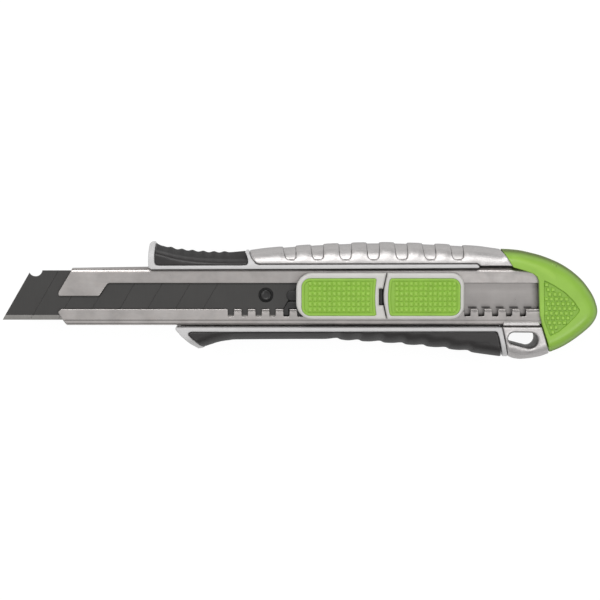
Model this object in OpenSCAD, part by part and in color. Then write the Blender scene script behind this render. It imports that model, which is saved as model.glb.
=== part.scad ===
// Snap-off utility knife with an 18 mm segmented blade, a cast metal handle,
// a steel blade channel with a detent rack, a two-pad thumb slider and a
// magazine drawer of spare blades behind the end cap.
// The knife lies on its back: +X runs from the blade tip to the end cap, +Y from
// the cutting edge to the spine, +Z from the back to the slider. The origin is at
// the middle of the length and height, on the plane that the back rests on.

/* [Blade] */
// Width of the blade, from the cutting edge to the spine
blade_w = 18; // [17.8:0.1:18.2]
// Length of the blade along one edge
blade_l = 100; // [98:1:100]
// Thickness of the blade
blade_t = 0.5; // [0.4:0.05:0.5]
// Length of one snap-off segment
segment_l = 10.1; // [9.5:0.1:10.5]
// Radius of the hole in the blade's tail
blade_hole_r = 2.75; // [2.7:0.05:3]

/* [Slider] */
// Pitch of the detent rack
rack_pitch = 5.06; // [5.06:0.01:5.06]
// Notches in the rack
rack_notches = 22; // [18:1:22]
// Width of one notch
notch_w = 2.1; // [1.9:0.05:2.15]
// How far a thumb pad goes down to free its detent
press_travel = 1.0; // [0.8:0.1:1.0]

/* [Handle] */
// Height of the rails that stand on each side of the channel
rail_z = 16.4; // [16.2:0.1:16.6]
// Thickness of the cast floor
floor_t = 2.0; // [1.6:0.1:2.0]
// Depth of the finger scallops in the spine
scallop_d = 0.5; // [0.3:0.1:0.8]
// Scallops along the spine
scallops = 7; // [5:1:7]
// Ribs across the thumb rest
thumb_ribs = 7; // [5:1:7]

/* [Magazine] */
// Spare blades in the drawer
spares = 5; // [1:1:5]
// Wall of the drawer
tray_wall = 0.9; // [0.7:0.1:0.9]

/* [Hidden] */

lean = 0.572;                       // the blade's ends and score lines lean 30 degrees
tip_x = -108.2;                     // point of the blade
edge_y = -7.3;                     // cutting edge
ch_z0 = 9.8; ch_z1 = 14.0; ch_t = 0.8;         // blade channel, outside, and its sheet
ch_y0 = -9.2; ch_y1 = 12.0;
ch_x1 = 91;
win_y0 = -3.45; win_y1 = 6.1;       // window in the channel's front wall
notch_y = -5.95;
rack_x = -25.3;                    // first notch
hub_x = -12.4; hub_y = 1.7;        // hub in the blade's hole
blade_z = 12.55;
car_z0 = 10.75; car_z1 = 12.4; car_z2 = 13.05; // carriage floor, under the blade, behind the blade
pad_z0 = ch_z1 + press_travel + 0.15;
pad_z1 = 18.4;
leaf_z = 13.35; leaf_t = 0.4;
screws = [[-33.5, 1.75], [-48.3, 7.6], [-41.5, -4.2]];

row = [-0.2, 0.55, 0];              // puts the middle of the whole knife at the origin

silver = [0.80, 0.80, 0.81]; light = [0.82, 0.82, 0.80]; black = [0.16, 0.155, 0.15];
steel = [0.68, 0.66, 0.65]; lime = [0.55, 0.74, 0.24]; oxide = [0.27, 0.27, 0.27];

// ---- plan outlines, in millimetres ----
ridge_top = [[-18.7, 17.65], [-6.5, 18.75], [3.4, 19.45], [13.3, 20.05], [21.7, 20.55], [30.8, 20.75], [40, 20.55], [51, 20.05], [60.1, 19.55], [65.6, 19.15], [73.05, 18.1]];
pad_top = [[-20.4, 17.75], [-24.8, 17.35], [-28.1, 17.15], [-33.6, 17.25], [-39.1, 17.65], [-45, 18.35], [-49.4, 19.35], [-52.3, 20.15]];
grip_low = [[-35.2, -17.6], [-32.5, -16.7], [-29.6, -15.8], [-25.9, -15.2], [-20.4, -14.9], [10.7, -14.8], [18, -15.3], [26.1, -15.7], [34.5, -16.3], [41.8, -17.0], [49.9, -17.8], [58.3, -18.9], [65.6, -20.0], [73.95, -21.0]];
cap_out = [[70.0, 18.5], [73.2, 18.25], [76.6, 18.1], [80.24, 17.7], [83.92, 16.9], [87.69, 15.9], [91.46, 14.5], [95.14, 12.8], [98.9, 10.4], [102.6, 7.2], [105.2, 4.0], [107.1, 0.9], [108.2, -2.0], [108.6, -4.1], [108.4, -6.0], [107.5, -8.0], [105.9, -10.1], [102.6, -13.0], [98.9, -15.7], [95.14, -17.9], [91.46, -19.5], [87.18, -21.1]];
cap_front = [[73.3, 18.3], [77.2, 12], [81.5, 10.7], [84.5, 9.7], [86, 8.6], [86.7, 6.9], [86.9, 0], [87.1, -5.3], [88, -9.1], [91.3, -19.7], [91.5, -22.5]];
// rounded cross-sections of the handle's rails, as [y, z]
top_profile = [[11, 0], [14, 0], [16, 0.7], [18, 2], [19.7, 4], [20.7, 6.2], [21, 8.2], [20.7, 10.2], [19.7, 12.4], [18, 14.4], [16, 15.7], [14, 16.4], [11, 16.4]];
low_profile = [[-9, 0], [-12.6, 0], [-15, 0.7], [-17.4, 2.2], [-19.8, 4.4], [-21.6, 6.8], [-22.2, 8.2], [-21.6, 9.6], [-19.8, 12], [-17.4, 14.2], [-15, 15.7], [-12.6, 16.4], [-9, 16.4]];

function rev(l) = [for (i = [len(l) - 1:-1:0]) l[i]];

module bar_x(profile, x0, x1) { translate([x0, 0, 0]) rotate([90, 0, 90]) linear_extrude(x1 - x0) polygon(profile); }
module slab(points, z0, z1) { translate([0, 0, z0]) linear_extrude(z1 - z0) polygon(points); }
module block(x0, x1, y0, y1, z0, z1) { translate([x0, y0, z0]) cube([x1 - x0, y1 - y0, z1 - z0]); }
module peg(x, y, r, z0, z1, n = 48) { translate([x, y, z0]) cylinder(r = r, h = z1 - z0, $fn = n); }

// ---- handle ----
module ridge(drop) {
    intersection() {
        slab(concat([[-15.6, 12.5], [-15.6, 13.3], [-16.3, 13.75], [-17.75, 15.2], [-18.5, 16.8]], [for (p = ridge_top) [p[0], p[1] - drop]], [[76.6, 12.5]]), drop, rail_z - 0.2 - drop);
        bar_x([for (p = top_profile) [p[0] - drop, p[1]]], -20, 80);
    }
}
module scallop(x) {
    slab([[x - 2.9, 24], [x - 2.3, 17.6], [x - 1.8, 15.9], [x - 0.9, 15], [x + 0.2, 14.8], [x + 1.3, 15.3], [x + 2, 16.5], [x + 2.2, 18.5], [x + 1.9, 24]], -1, 20);
}
module cast_body() {
    color(silver) translate(row) difference() {
        union() {
            // floor and the two ledges that carry the channel
            slab([[-54, 12.4], [-54, 9.5], [-51.5, 3], [-46, -7.4], [-45, -9.6], [86.4, -9.6], [86.2, 12.4]], 0, floor_t);
            block(-44, 86.4, -9.6, -8.7, 0, ch_z0);
            block(-15.6, 76, 11.75, 12.9, 0, ch_z0);
            // spine with its scallops
            ridge(scallop_d);
            difference() {
                ridge(0);
                for (i = [0:scallops - 1]) scallop(-4.3 + 10.18 * i);
            }
            // block for the lanyard eye
            intersection() {
                slab([[73.5, -9.6], [75.95, -20.9], [77.9, -21.7], [80.5, -22.05], [84.2, -21.7], [87.9, -20.95], [90.75, -19.9], [87.65, -9.6]], 0, 16.2);
                bar_x(low_profile, 70, 95);
            }
            // bosses that carry the channel's screws
            block(-36, -31.2, -1.4, 4.9, 0, ch_z0);
            for (i = [1, 2]) peg(screws[i][0], screws[i][1], 2.9, 0, ch_z0);
        }
        // rebate under the strip of the upper trim
        slab([[-20, 12.45], [65.35, 12.45], [65.3, 12.6], [64.35, 13.35], [-15.6, 13.2], [-20, 13.2]], 14.1, 20);
        block(-20, 80, 12.3, 12.47, ch_z0, 20);
        // cored inside of the spine
        block(-12, 68, 14.6, 17.4, 3, 12);
        // lanyard eye
        peg(77.7, -13.9, 2.2, -1, 19);
        peg(83.4, -14.65, 2.9, -1, 19);
        slab([[77.72, -11.7], [83.43, -11.75], [82.67, -17.46], [77.15, -16.03]], -1, 19);
        // channel screws
        for (p = screws) {
            peg(p[0], p[1], 1.45, -1, ch_z0 + 1);
            peg(p[0], p[1], 2.75, -1, 1.2);
        }
    }
}
module upper_trim() {
    color(light) translate(row) union() {
        // frame of the thumb rest
        intersection() {
            slab([[-53.9, 20.95], [-54.8, 20.3], [-55.1, 16.3], [-55.1, 12.5], [-16, 12.5], [-16, 13.05], [-16.6, 13.45], [-18, 15.2], [-18.85, 16.9], [-19.05, 17.8], [-20.3, 17.8],
                [-19.95, 16.6], [-19.4, 14.8], [-19.5, 13.6], [-20.3, 13], [-51.9, 13], [-52.6, 13.8], [-52.7, 16.2], [-52.3, 20.6]], 0.6, rail_z);
            bar_x(top_profile, -60, 0);
        }
        // strip along the channel
        slab([[-55.1, 13], [-55.1, 12.1], [-54.2, 11.25], [64.6, 11.75], [65.15, 12.1], [65.1, 12.5], [64.2, 13.1], [-16, 12.95]], ch_z1 + 0.15, rail_z);
    }
}
module thumb_grip() {
    color(black) translate(row) intersection() {
        difference() {
            slab(concat([[-19.95, 16.6], [-19.4, 14.8], [-19.5, 13.6], [-20.3, 13], [-51.9, 13], [-52.6, 13.8], [-52.7, 16.2]], rev(pad_top)), 0.8, rail_z - 0.1);
            for (i = [0:thumb_ribs - 1]) translate([-48.6 + 3.72 * i, [19.85, 19.15, 18.55, 18.25, 18.05, 17.95, 18.05][i], -1]) cylinder(r = 1.1, h = 20, $fn = 32);
        }
        bar_x(top_profile, -60, 0);
    }
}
module lower_trim() {
    color(light) translate(row) intersection() {
        slab([[-45.6, -9.85], [-45.4, -10.6], [-43.6, -12.6], [-38.8, -17.2], [-37.1, -18.1], [-35.7, -18], [-35.2, -17.6], [-36.8, -16.5], [-40.9, -12.9], [-40.4, -11.65],
            [71.5, -11.45], [73.95, -21], [75.7, -21.1], [73.15, -9.85]], 0.6, rail_z);
        bar_x(low_profile, -50, 80);
    }
}
module finger_grip() {
    color(black) translate(row) intersection() {
        difference() {
            slab(concat([[-36.8, -16.5], [-40.9, -12.9], [-40.4, -11.65], [71.5, -11.45]], rev(grip_low)), 0.8, rail_z - 0.1);
            for (i = [0:6]) translate([13.4 + 7.97 * i, [-16.3, -16.7, -17.2, -17.8, -18.5, -19.4, -20.4][i], -1]) cylinder(r = 1.6, h = 20, $fn = 40);
        }
        bar_x(low_profile, -50, 80);
    }
}

// ---- blade channel ----
module channel_plan() {
    // outside outline of the channel, with its slanted nose
    slab([[-82.7, 11.9], [-88, 2.7], [-88, -4.4], [-85.3, -8.7], [-84.6, ch_y0], [ch_x1, ch_y0], [ch_x1, ch_y1], [-82.4, ch_y1]], ch_z0, ch_z1);
}
module blade_channel() {
    r = 1.4;
    color(steel) translate(row) difference() {
        intersection() {
            channel_plan();
            bar_x([[ch_y0, ch_z0 + r], [ch_y0 + 0.4, ch_z0 + 0.4], [ch_y0 + r, ch_z0], [ch_y1 - r, ch_z0], [ch_y1 - 0.4, ch_z0 + 0.4], [ch_y1, ch_z0 + r],
                   [ch_y1, ch_z1 - r], [ch_y1 - 0.4, ch_z1 - 0.4], [ch_y1 - r, ch_z1], [ch_y0 + r, ch_z1], [ch_y0 + 0.4, ch_z1 - 0.4], [ch_y0, ch_z1 - r]], -90, 95);
        }
        // space for the blade and the carriage
        block(-95, 95, ch_y0 + ch_t, ch_y1 - ch_t, ch_z0 + ch_t, ch_z1 - ch_t);
        // window in the front wall
        slab([[-95, 1.4], [-72.9, 1.4], [-69.9, win_y1], [95, win_y1], [95, win_y0], [-87.4, win_y0], [-95, win_y0]], ch_z1 - ch_t - 0.1, 20);
        slab([[-86.7, -6.9], [-88, -4.3], [-87.4, win_y0], [-90, win_y0], [-90, -9.5], [-85.2, -9.5]], ch_z1 - ch_t - 0.1, 20);
        // detent rack
        for (i = [0:rack_notches - 1]) block(rack_x + rack_pitch * i - notch_w / 2, rack_x + rack_pitch * i + notch_w / 2, notch_y, win_y0 + 1, ch_z1 - ch_t - 0.1, 20);
        for (p = screws) peg(p[0], p[1], 1.25, 0, ch_z0 + ch_t + 0.2);
    }
}
module channel_screws() {
    color(steel) translate(row) for (p = screws) difference() {
        union() {
            peg(p[0], p[1], 1.25, 0.3, ch_z0 + ch_t - 0.1);
            peg(p[0], p[1], 2.6, 0.2, 1.2);
        }
        for (a = [0, 90]) translate([p[0], p[1], 0.4]) rotate([0, 0, a]) cube([2.6, 0.5, 1], center = true);
    }
}
module magazine_catch() {
    // spring clip on the middle boss that grips the drawer's nose
    color(steel) translate(row) difference() {
        slab([[-31.2, -0.7], [-31.2, 4.2], [-26.5, 4.2], [-24, 3.0], [-22.6, 3.9], [-22.3, 3.6], [-24, 2.45], [-26.6, 3.85], [-30.85, 3.85],
              [-30.85, -0.35], [-26.6, -0.35], [-24, 1.05], [-22.3, -0.1], [-22.6, -0.4], [-24, 0.5], [-26.5, -0.7]], 4.5, 7.5);
    }
}

// ---- blade and carriage ----
module one_blade(x, z, notch) {
    difference() {
        slab([[x, edge_y], [x + blade_l, edge_y], [x + blade_l + lean * blade_w, edge_y + blade_w], [x + lean * blade_w, edge_y + blade_w]], z, z + blade_t);
        if (notch) peg(x + 11.45, edge_y + blade_w + 0.7, 3, z - 1, z + 2);
        peg(x + blade_l - 4.2, edge_y + blade_w / 2, blade_hole_r, z - 1, z + 2);
        // ground bevel of the cutting edge
        translate([x - 1, edge_y, z + blade_t / 2]) rotate([90, 0, 90]) linear_extrude(blade_l + 2) polygon([[-1, 0.02], [0, 0.02], [1.65, blade_t / 2], [1.65, 1], [-1, 1]]);
        translate([x - 1, edge_y, z + blade_t / 2]) rotate([90, 0, 90]) linear_extrude(blade_l + 2) polygon([[-1, -0.02], [0, -0.02], [1.65, -blade_t / 2], [1.65, -1], [-1, -1]]);
        // score lines between the segments
        for (i = [1:7]) slab([[x + segment_l * i - 0.08, edge_y - 0.1], [x + segment_l * i + 0.08, edge_y - 0.1],
            [x + segment_l * i + 0.08 + lean * (blade_w + 0.2), edge_y + blade_w + 0.1], [x + segment_l * i - 0.08 + lean * (blade_w + 0.2), edge_y + blade_w + 0.1]], z + blade_t - 0.12, z + blade_t + 1);
    }
}
module blade() { color(oxide) translate(row) one_blade(tip_x, blade_z, true); }

tail_x = tip_x + blade_l;           // the blade's tail, at the cutting edge
module blade_carriage() {
    color(black) translate(row) difference() {
        union() {
            block(-21, 58.5, -8, 10.95, car_z0, car_z1);
            slab([[tail_x + 0.3 + lean * (-8 - edge_y), -8], [58.5, -8], [58.5, 10.95], [tail_x + 0.3 + lean * (10.95 - edge_y), 10.95]], car_z1 - 0.1, car_z2);
            // tongue over the blade's tail
            block(0.2, 2.9, -0.3, 3.4, car_z1, 13.9);
            block(-3, 1, -0.3, 3.4, 13.15, 13.9);
            peg(-3, 1.55, 1.85, 13.15, 13.9);
            // post between the thumb pads
            block(28.75, 29.75, -1.5, 4.3, car_z1, 17);
        }
        // wells for the pads' stems and detent springs
        block(3.0, 28.2, -2.9, 5.6, 11.2, 20);
        block(32.4, 58, -2.9, 5.6, 11.2, 20);
        slab([[-7.2, -6], [-3.6, -6], [-3.6, -3.4], [3.1, -3.4], [3.1, -0.4], [-4.6, -0.4]], 12.2, 13.12);
        block(53.9, 57.1, -6, -2.8, 12.2, 20);
        peg(hub_x, hub_y, 1.5, 0, 20);
    }
}
module blade_hub() {
    color(black) translate(row) union() {
        peg(hub_x, hub_y, 1.5, car_z0 + 0.1, car_z1);
        peg(hub_x, hub_y, 2.5, car_z1, 12.7);
        peg(hub_x, hub_y, 1.95, 12.6, 13.4);
        translate([hub_x, hub_y, 13.4]) cylinder(r1 = 1.95, r2 = 1.65, h = 0.3, $fn = 48);
    }
}

// ---- thumb pads ----
function arc(cx, cy, r, a0, a1, n) = [for (i = [0:n]) [cx + r * cos(a0 + (a1 - a0) * i / n), cy + r * sin(a0 + (a1 - a0) * i / n)]];
front_out = concat(arc(4.6, 4.15, 6, 180, 90, 8), [[31.2, 10.15], [30.4, 6.5], [29.9, 3.4], [29.9, 0], [30.4, -3.2], [31.2, -6.75]], arc(4.6, -0.75, 6, 270, 180, 8));
rear_out = concat(arc(54.6, 5.45, 4.7, 90, 0, 8), arc(54.3, -1.75, 5, 0, -90, 8), [[31.6, -6.75], [30.8, -3.2], [30.25, 0], [30.25, 3.4], [30.8, 6.5], [31.6, 10.15]]);
front_in = concat(arc(3.75, 5, 3.2, 180, 90, 8), [[27.55, 8.2], [27.2, 4.5], [27.05, 1.2], [27.2, -2], [27.55, -5.4]], arc(3.75, -2.2, 3.2, 270, 180, 8));
rear_in = concat(arc(54.8, 5.1, 3.1, 90, 0, 8), arc(54.7, -2.2, 3.2, 0, -90, 8), [[32.45, -5.4], [31.9, -1.8], [31.75, 1.3], [31.9, 4.6], [32.45, 8.2]]);
module frame(out, inn) {
    difference() {
        union() {
            slab(out, pad_z0, pad_z1 - 0.6);
            intersection() { slab(out, pad_z1 - 0.61, pad_z1); translate([0, 0.07, 0]) bar_x([[-6.9, 17.7], [-6.2, 18.4], [9.5, 18.4], [10.2, 17.7]], -5, 62); }
        }
        slab(inn, 17.2, 20);
    }
}
module front_pad_frame() {
    color(light) translate(row) difference() {
        union() { frame(front_out, front_in); block(4, 27, -2.6, 5.3, 13.8, pad_z0 + 0.1); }
        block(28.6, 35, -1.6, 4.4, 10, 20);
    }
}
module rear_pad_frame() { color(light) translate(row) union() { frame(rear_out, rear_in); block(33.2, 57, -2.6, 5.3, 13.8, pad_z0 + 0.1); } }
module front_pad_grip() { color(lime) translate(row) slab(front_in, 17.2, 18.6); }
module rear_pad_grip() { color(lime) translate(row) slab(rear_in, 17.2, 18.6); }
module front_detent_spring() {
    color(steel) translate(row) union() {
        slab([[-5.9, -5.6], [-4.25, -5.6], [-4.25, -3.1], [3.1, -3.1], [3.1, -2.4], [20, -2.4], [20, 5], [3.3, 5], [3.3, -0.65], [-4.3, -0.65], [-5.9, -3.3]], leaf_z, leaf_z + leaf_t);
        translate([0, 5, 0]) rotate([90, 0, 0]) linear_extrude(7.4) polygon([[19.9, leaf_z], [19.9, leaf_z + leaf_t], [20.1, leaf_z + leaf_t], [27.3, 11.65], [27.3, 11.25]]);
    }
}
module rear_detent_spring() {
    color(steel) translate(row) union() {
        slab([[40.5, -2.4], [54.8, -2.4], [54.8, -5.6], [56.5, -5.6], [56.5, -2.4], [57.3, -2.4], [57.3, 5], [40.5, 5]], leaf_z, leaf_z + leaf_t);
        translate([0, 5, 0]) rotate([90, 0, 0]) linear_extrude(7.4) polygon([[40.6, leaf_z], [40.6, leaf_z + leaf_t], [40.4, leaf_z + leaf_t], [33.2, 11.65], [33.2, 11.25]]);
    }
}

// ---- end cap and magazine drawer ----
module cap_shell() {
    difference() {
        hull() {
            translate([0, 0, 0.3]) linear_extrude(0.1) offset(delta = -3.6) polygon(cap_out);
            translate([0, 0, 1.6]) linear_extrude(0.1) offset(delta = -1.5) polygon(cap_out);
            translate([0, 0, 4.2]) linear_extrude(0.1) offset(delta = -0.3) polygon(cap_out);
            translate([0, 0, 8.2]) linear_extrude(0.1) polygon(cap_out);
            translate([0, 0, 12]) linear_extrude(0.1) offset(delta = -0.3) polygon(cap_out);
            translate([0, 0, 14.9]) linear_extrude(0.1) offset(delta = -1.5) polygon(cap_out);
            translate([0, 0, 16.3]) linear_extrude(0.1) offset(delta = -3.6) polygon(cap_out);
        }
        slab(concat([[60, 25]], cap_front, [[60, -25]]), -1, 20);
        // room for the channel's end and the drawer
        block(70, 91.5, -9.7, 12.9, -1, 14.15);
        block(84, 93, -9.2, 12.5, 2.2, 14.15);
        slab([[92, -8.8], [92, 12.2], [97, 8.5], [101, 3], [102.5, -3], [100, -8.8]], 2.2, 13.6);
    }
}
module cap_back() {
    slab([[86.6, 12.4], [91.8, 12.4], [91.8, -9.6], [86.7, -9.6]], 0.3, 2.2);
}
module end_cap() { color(lime) translate(row) union() { cap_shell(); cap_back(); } }
tray_x0 = -22; tray_x1 = 91.3; tray_y0 = -8.5; tray_y1 = 11.6;
module magazine_tray() {
    color(black) translate(row) difference() {
        union() {
            block(tray_x0, tray_x1, tray_y0, tray_y1, 2.3, 9.3);
            // tail that is snapped into the end cap
            block(tray_x1 - 0.1, 96, -6, 7.5, 2.3, 8.6);
            // barbed nose that the catch grips
            slab([[-22, 1.2], [-24, 1.2], [-25, 0.6], [-26.4, 1.4], [-26.4, 2.1], [-25, 2.9], [-24, 2.3], [-22, 2.3]], 5, 7);
        }
        block(tray_x0 + 1, tray_x1 - 0.6, tray_y0 + tray_wall, tray_y1 - tray_wall, 3.5, 8.6);
        // open top, with two bridges that hold the spring
        block(tray_x0 + 1, -10.5, tray_y0 + tray_wall, tray_y1 - tray_wall, 8, 10);
        block(-7.5, 66, tray_y0 + tray_wall, tray_y1 - tray_wall, 8, 10);
        block(69, tray_x1 - 0.6, tray_y0 + tray_wall, tray_y1 - tray_wall, 8, 10);
    }
}
module spare_blades() { color(oxide) translate(row) for (i = [0:spares - 1]) translate([0, -0.15, 0]) one_blade(-20.3, 3.55 + 0.53 * i, true); }
module blade_hold_spring() {
    color(steel) translate(row) translate([0, 5.7, 0]) rotate([90, 0, 0]) linear_extrude(8)
        polygon([[-11, 8.5], [-7, 8.5], [30, 6.6], [66, 8.5], [70, 8.5], [70, 8.2], [66, 8.2], [30, 6.3], [-7, 8.2], [-11, 8.2]]);
}

cast_body();
upper_trim();
thumb_grip();
lower_trim();
finger_grip();
blade_channel();
channel_screws();
magazine_catch();
blade();
blade_carriage();
blade_hub();
front_pad_frame();
front_pad_grip();
front_detent_spring();
rear_pad_frame();
rear_pad_grip();
rear_detent_spring();
end_cap();
magazine_tray();
spare_blades();
blade_hold_spring();
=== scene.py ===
import math

import bmesh
import bpy
import numpy as np
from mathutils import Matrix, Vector, geometry


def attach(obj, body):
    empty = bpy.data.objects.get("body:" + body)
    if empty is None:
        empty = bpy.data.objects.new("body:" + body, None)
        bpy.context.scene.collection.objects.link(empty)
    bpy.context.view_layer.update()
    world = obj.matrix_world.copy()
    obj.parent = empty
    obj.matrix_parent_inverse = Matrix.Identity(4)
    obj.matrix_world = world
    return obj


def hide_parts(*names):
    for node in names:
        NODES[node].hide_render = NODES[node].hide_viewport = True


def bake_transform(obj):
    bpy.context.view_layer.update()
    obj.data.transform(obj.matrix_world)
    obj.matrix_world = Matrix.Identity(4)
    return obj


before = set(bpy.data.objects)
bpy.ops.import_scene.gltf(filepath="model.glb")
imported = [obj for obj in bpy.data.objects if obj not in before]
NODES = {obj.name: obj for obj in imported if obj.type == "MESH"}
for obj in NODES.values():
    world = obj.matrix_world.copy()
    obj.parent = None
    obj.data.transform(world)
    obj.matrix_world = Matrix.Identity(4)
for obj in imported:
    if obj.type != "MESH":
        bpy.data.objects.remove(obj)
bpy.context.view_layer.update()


MM = 0.001
ROW = (-0.2, 0.55)                     # where the outlines' own origin lies in the shared frame
Z0, ZM, ZR = 0.0, 8.2, 16.4          # back plane, middle of the thickness, top of the rails


# ------------------------------------------------------------------ plane geometry
def arr(p):
    return np.array([q[:2] for q in p], float)


def fillet(pts, r0=0.0, n=6):
    """Rounds the corners of a closed outline. A point may carry its own radius."""
    out, m = [], len(pts)
    for i in range(m):
        r = pts[i][2] if len(pts[i]) > 2 else r0
        a, b, c = (np.array(pts[j % m][:2], float) for j in (i - 1, i, i + 1))
        u, v = a - b, c - b
        lu, lv = np.linalg.norm(u), np.linalg.norm(v)
        ang = math.acos(max(-1, min(1, float(u @ v) / (lu * lv))))
        if r <= 0 or ang > math.pi - 0.04:
            out.append(b)
            continue
        t = min(r / math.tan(ang / 2), lu * 0.47, lv * 0.47)
        p0, p1 = b + u / lu * t, b + v / lv * t
        for k in range(n + 1):
            s = k / n
            out.append((1 - s) ** 2 * p0 + 2 * s * (1 - s) * b + s * s * p1)
    return np.array(out)


def curve(pts, n=8):
    """A smooth open curve through the points."""
    p = arr(pts)
    q = np.vstack([2 * p[0] - p[1], p, 2 * p[-1] - p[-2]])
    out = []
    for i in range(1, len(q) - 2):
        a, b, c, d = q[i - 1], q[i], q[i + 1], q[i + 2]
        for k in range(n):
            t = k / n
            out.append(0.5 * (2 * b + (c - a) * t + (2 * a - 5 * b + 4 * c - d) * t * t + (3 * b - a - 3 * c + d) * t ** 3))
    out.append(p[-1])
    return np.array(out)


def resample(loop, step, closed=True):
    p = arr(loop)
    q = np.vstack([p, p[:1]]) if closed else p
    out = []
    for a, b in zip(q[:-1], q[1:]):
        n = max(1, int(math.ceil(np.linalg.norm(b - a) / step)))
        if np.linalg.norm(b - a) < 1e-6:
            continue
        for k in range(n):
            out.append(a + (b - a) * k / n)
    if not closed:
        out.append(q[-1])
    return np.array(out)


def segs(loop, closed=True):
    p = arr(loop)
    return (p, np.roll(p, -1, 0)) if closed else (p[:-1], p[1:])


def seg_dist(P, A, B):
    out = np.empty(len(P))
    D = B - A
    L = np.maximum((D ** 2).sum(1), 1e-12)
    size = max(1, int(4e6 / max(1, len(A))))
    for i in range(0, len(P), size):
        p = P[i:i + size]
        w = p[:, None, :] - A[None]
        t = np.clip((w * D[None]).sum(2) / L, 0, 1)
        r = w - t[..., None] * D[None]
        out[i:i + size] = np.sqrt((r ** 2).sum(2).min(1))
    return out


def inside(P, loops):
    res = np.zeros(len(P), bool)
    for lp in loops:
        A, B = segs(lp)
        for a, b in zip(A, B):
            if a[1] == b[1]:
                continue
            c = (a[1] > P[:, 1]) != (b[1] > P[:, 1])
            x = (b[0] - a[0]) * (P[:, 1] - a[1]) / (b[1] - a[1]) + a[0]
            res ^= c & (P[:, 0] < x)
    return res


def area(loop):
    p = arr(loop)
    q = np.roll(p, -1, 0)
    return 0.5 * float((p[:, 0] * q[:, 1] - q[:, 0] * p[:, 1]).sum())


def plan(loops, grid=1.0, rings=(0.1, 0.3), step=0.5, extra=(), lines=(), gy=None):
    """Triangulates the region inside the outlines: points along every edge, in rings beside it, on a grid, and along given lines."""
    fixed = []
    for k, lp in enumerate(loops):
        lp = resample(lp, step)
        if (area(lp) < 0) != (k > 0):
            lp = lp[::-1]
        fixed.append(lp)
    allA = np.vstack([segs(l)[0] for l in fixed])
    allB = np.vstack([segs(l)[1] for l in fixed])
    pts, edges = [], []
    for lp in fixed:
        base = len(pts)
        pts += list(lp)
        edges += [(base + i, base + (i + 1) % len(lp)) for i in range(len(lp))]
    cand = []
    for lp in fixed:
        t = np.roll(lp, -1, 0) - np.roll(lp, 1, 0)
        t /= np.maximum(np.linalg.norm(t, axis=1)[:, None], 1e-9)
        nrm = np.stack([-t[:, 1], t[:, 0]], 1)
        for r in rings:
            c = lp + nrm * r
            keep = (seg_dist(c, allA, allB) > r * 0.93) & inside(c, fixed)
            c = c[keep]
            if len(c):
                cand.append(c)
    last = max(rings) if len(rings) else 0
    lo, hi = fixed[0].min(0), fixed[0].max(0)
    gy = gy or grid
    gx_, gy_ = np.meshgrid(np.arange(lo[0] + grid / 2, hi[0], grid), np.arange(lo[1] + gy / 2, hi[1], gy))
    g = np.stack([gx_.ravel(), gy_.ravel()], 1)
    g = g[inside(g, fixed)]
    if len(g):
        g = g[seg_dist(g, allA, allB) > last + min(grid, gy) * 0.45]
    for e in extra:
        e = np.asarray(e, float)
        e = e[inside(e, fixed)]
        if len(e):
            cand.append(e[seg_dist(e, allA, allB) > 0.04])
    if len(g):
        cand.append(g)
    if cand:
        c = np.vstack(cand)
        key = np.round(c / 0.03).astype(np.int64)
        _, idx = np.unique(key, axis=0, return_index=True)
        pts += list(c[np.sort(idx)])
    for ln in lines:
        ln = np.asarray(ln, float)
        base = len(pts)
        pts += list(ln)
        edges += [(base + i, base + i + 1) for i in range(len(ln) - 1)]
    vo, eo, fo, *_ = geometry.delaunay_2d_cdt([Vector((float(a), float(b))) for a, b in pts], edges, [], 0, 1e-5)
    V = np.array([tuple(v) for v in vo], float)
    F = np.array([f for f in fo if len(f) == 3], int)
    cen = V[F].mean(1)
    F = F[inside(cen, fixed)]
    a, b, c = V[F[:, 0]], V[F[:, 1]], V[F[:, 2]]
    cr = (b[:, 0] - a[:, 0]) * (c[:, 1] - a[:, 1]) - (b[:, 1] - a[:, 1]) * (c[:, 0] - a[:, 0])
    F = F[np.abs(cr) > 1e-7]
    cr = cr[np.abs(cr) > 1e-7]
    F[cr < 0] = F[cr < 0][:, ::-1]
    used = np.unique(F)
    remap = -np.ones(len(V), int)
    remap[used] = np.arange(len(used))
    V, F = V[used], remap[F]
    d = seg_dist(V, allA, allB)
    return V, F, d


def rim(F):
    """The directed edges on the outside of a triangulated region."""
    E = {}
    for f in F:
        for i in range(3):
            a, b = int(f[i]), int(f[(i + 1) % 3])
            E[(a, b)] = True
    return [(a, b) for (a, b) in E if (b, a) not in E]


def round_over(d, r):
    """How far a surface has dropped at distance d inside an edge rounded to radius r."""
    if r <= 0:
        return np.zeros_like(d)
    t = np.clip(r - d, 0, r)
    return r - np.sqrt(np.maximum(r * r - t * t, 0))


def sstep(a, b, x):
    t = np.clip((x - a) / (b - a), 0, 1)
    return t * t * (3 - 2 * t)


# ------------------------------------------------------------------ pieces
MATS = {}


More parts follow.
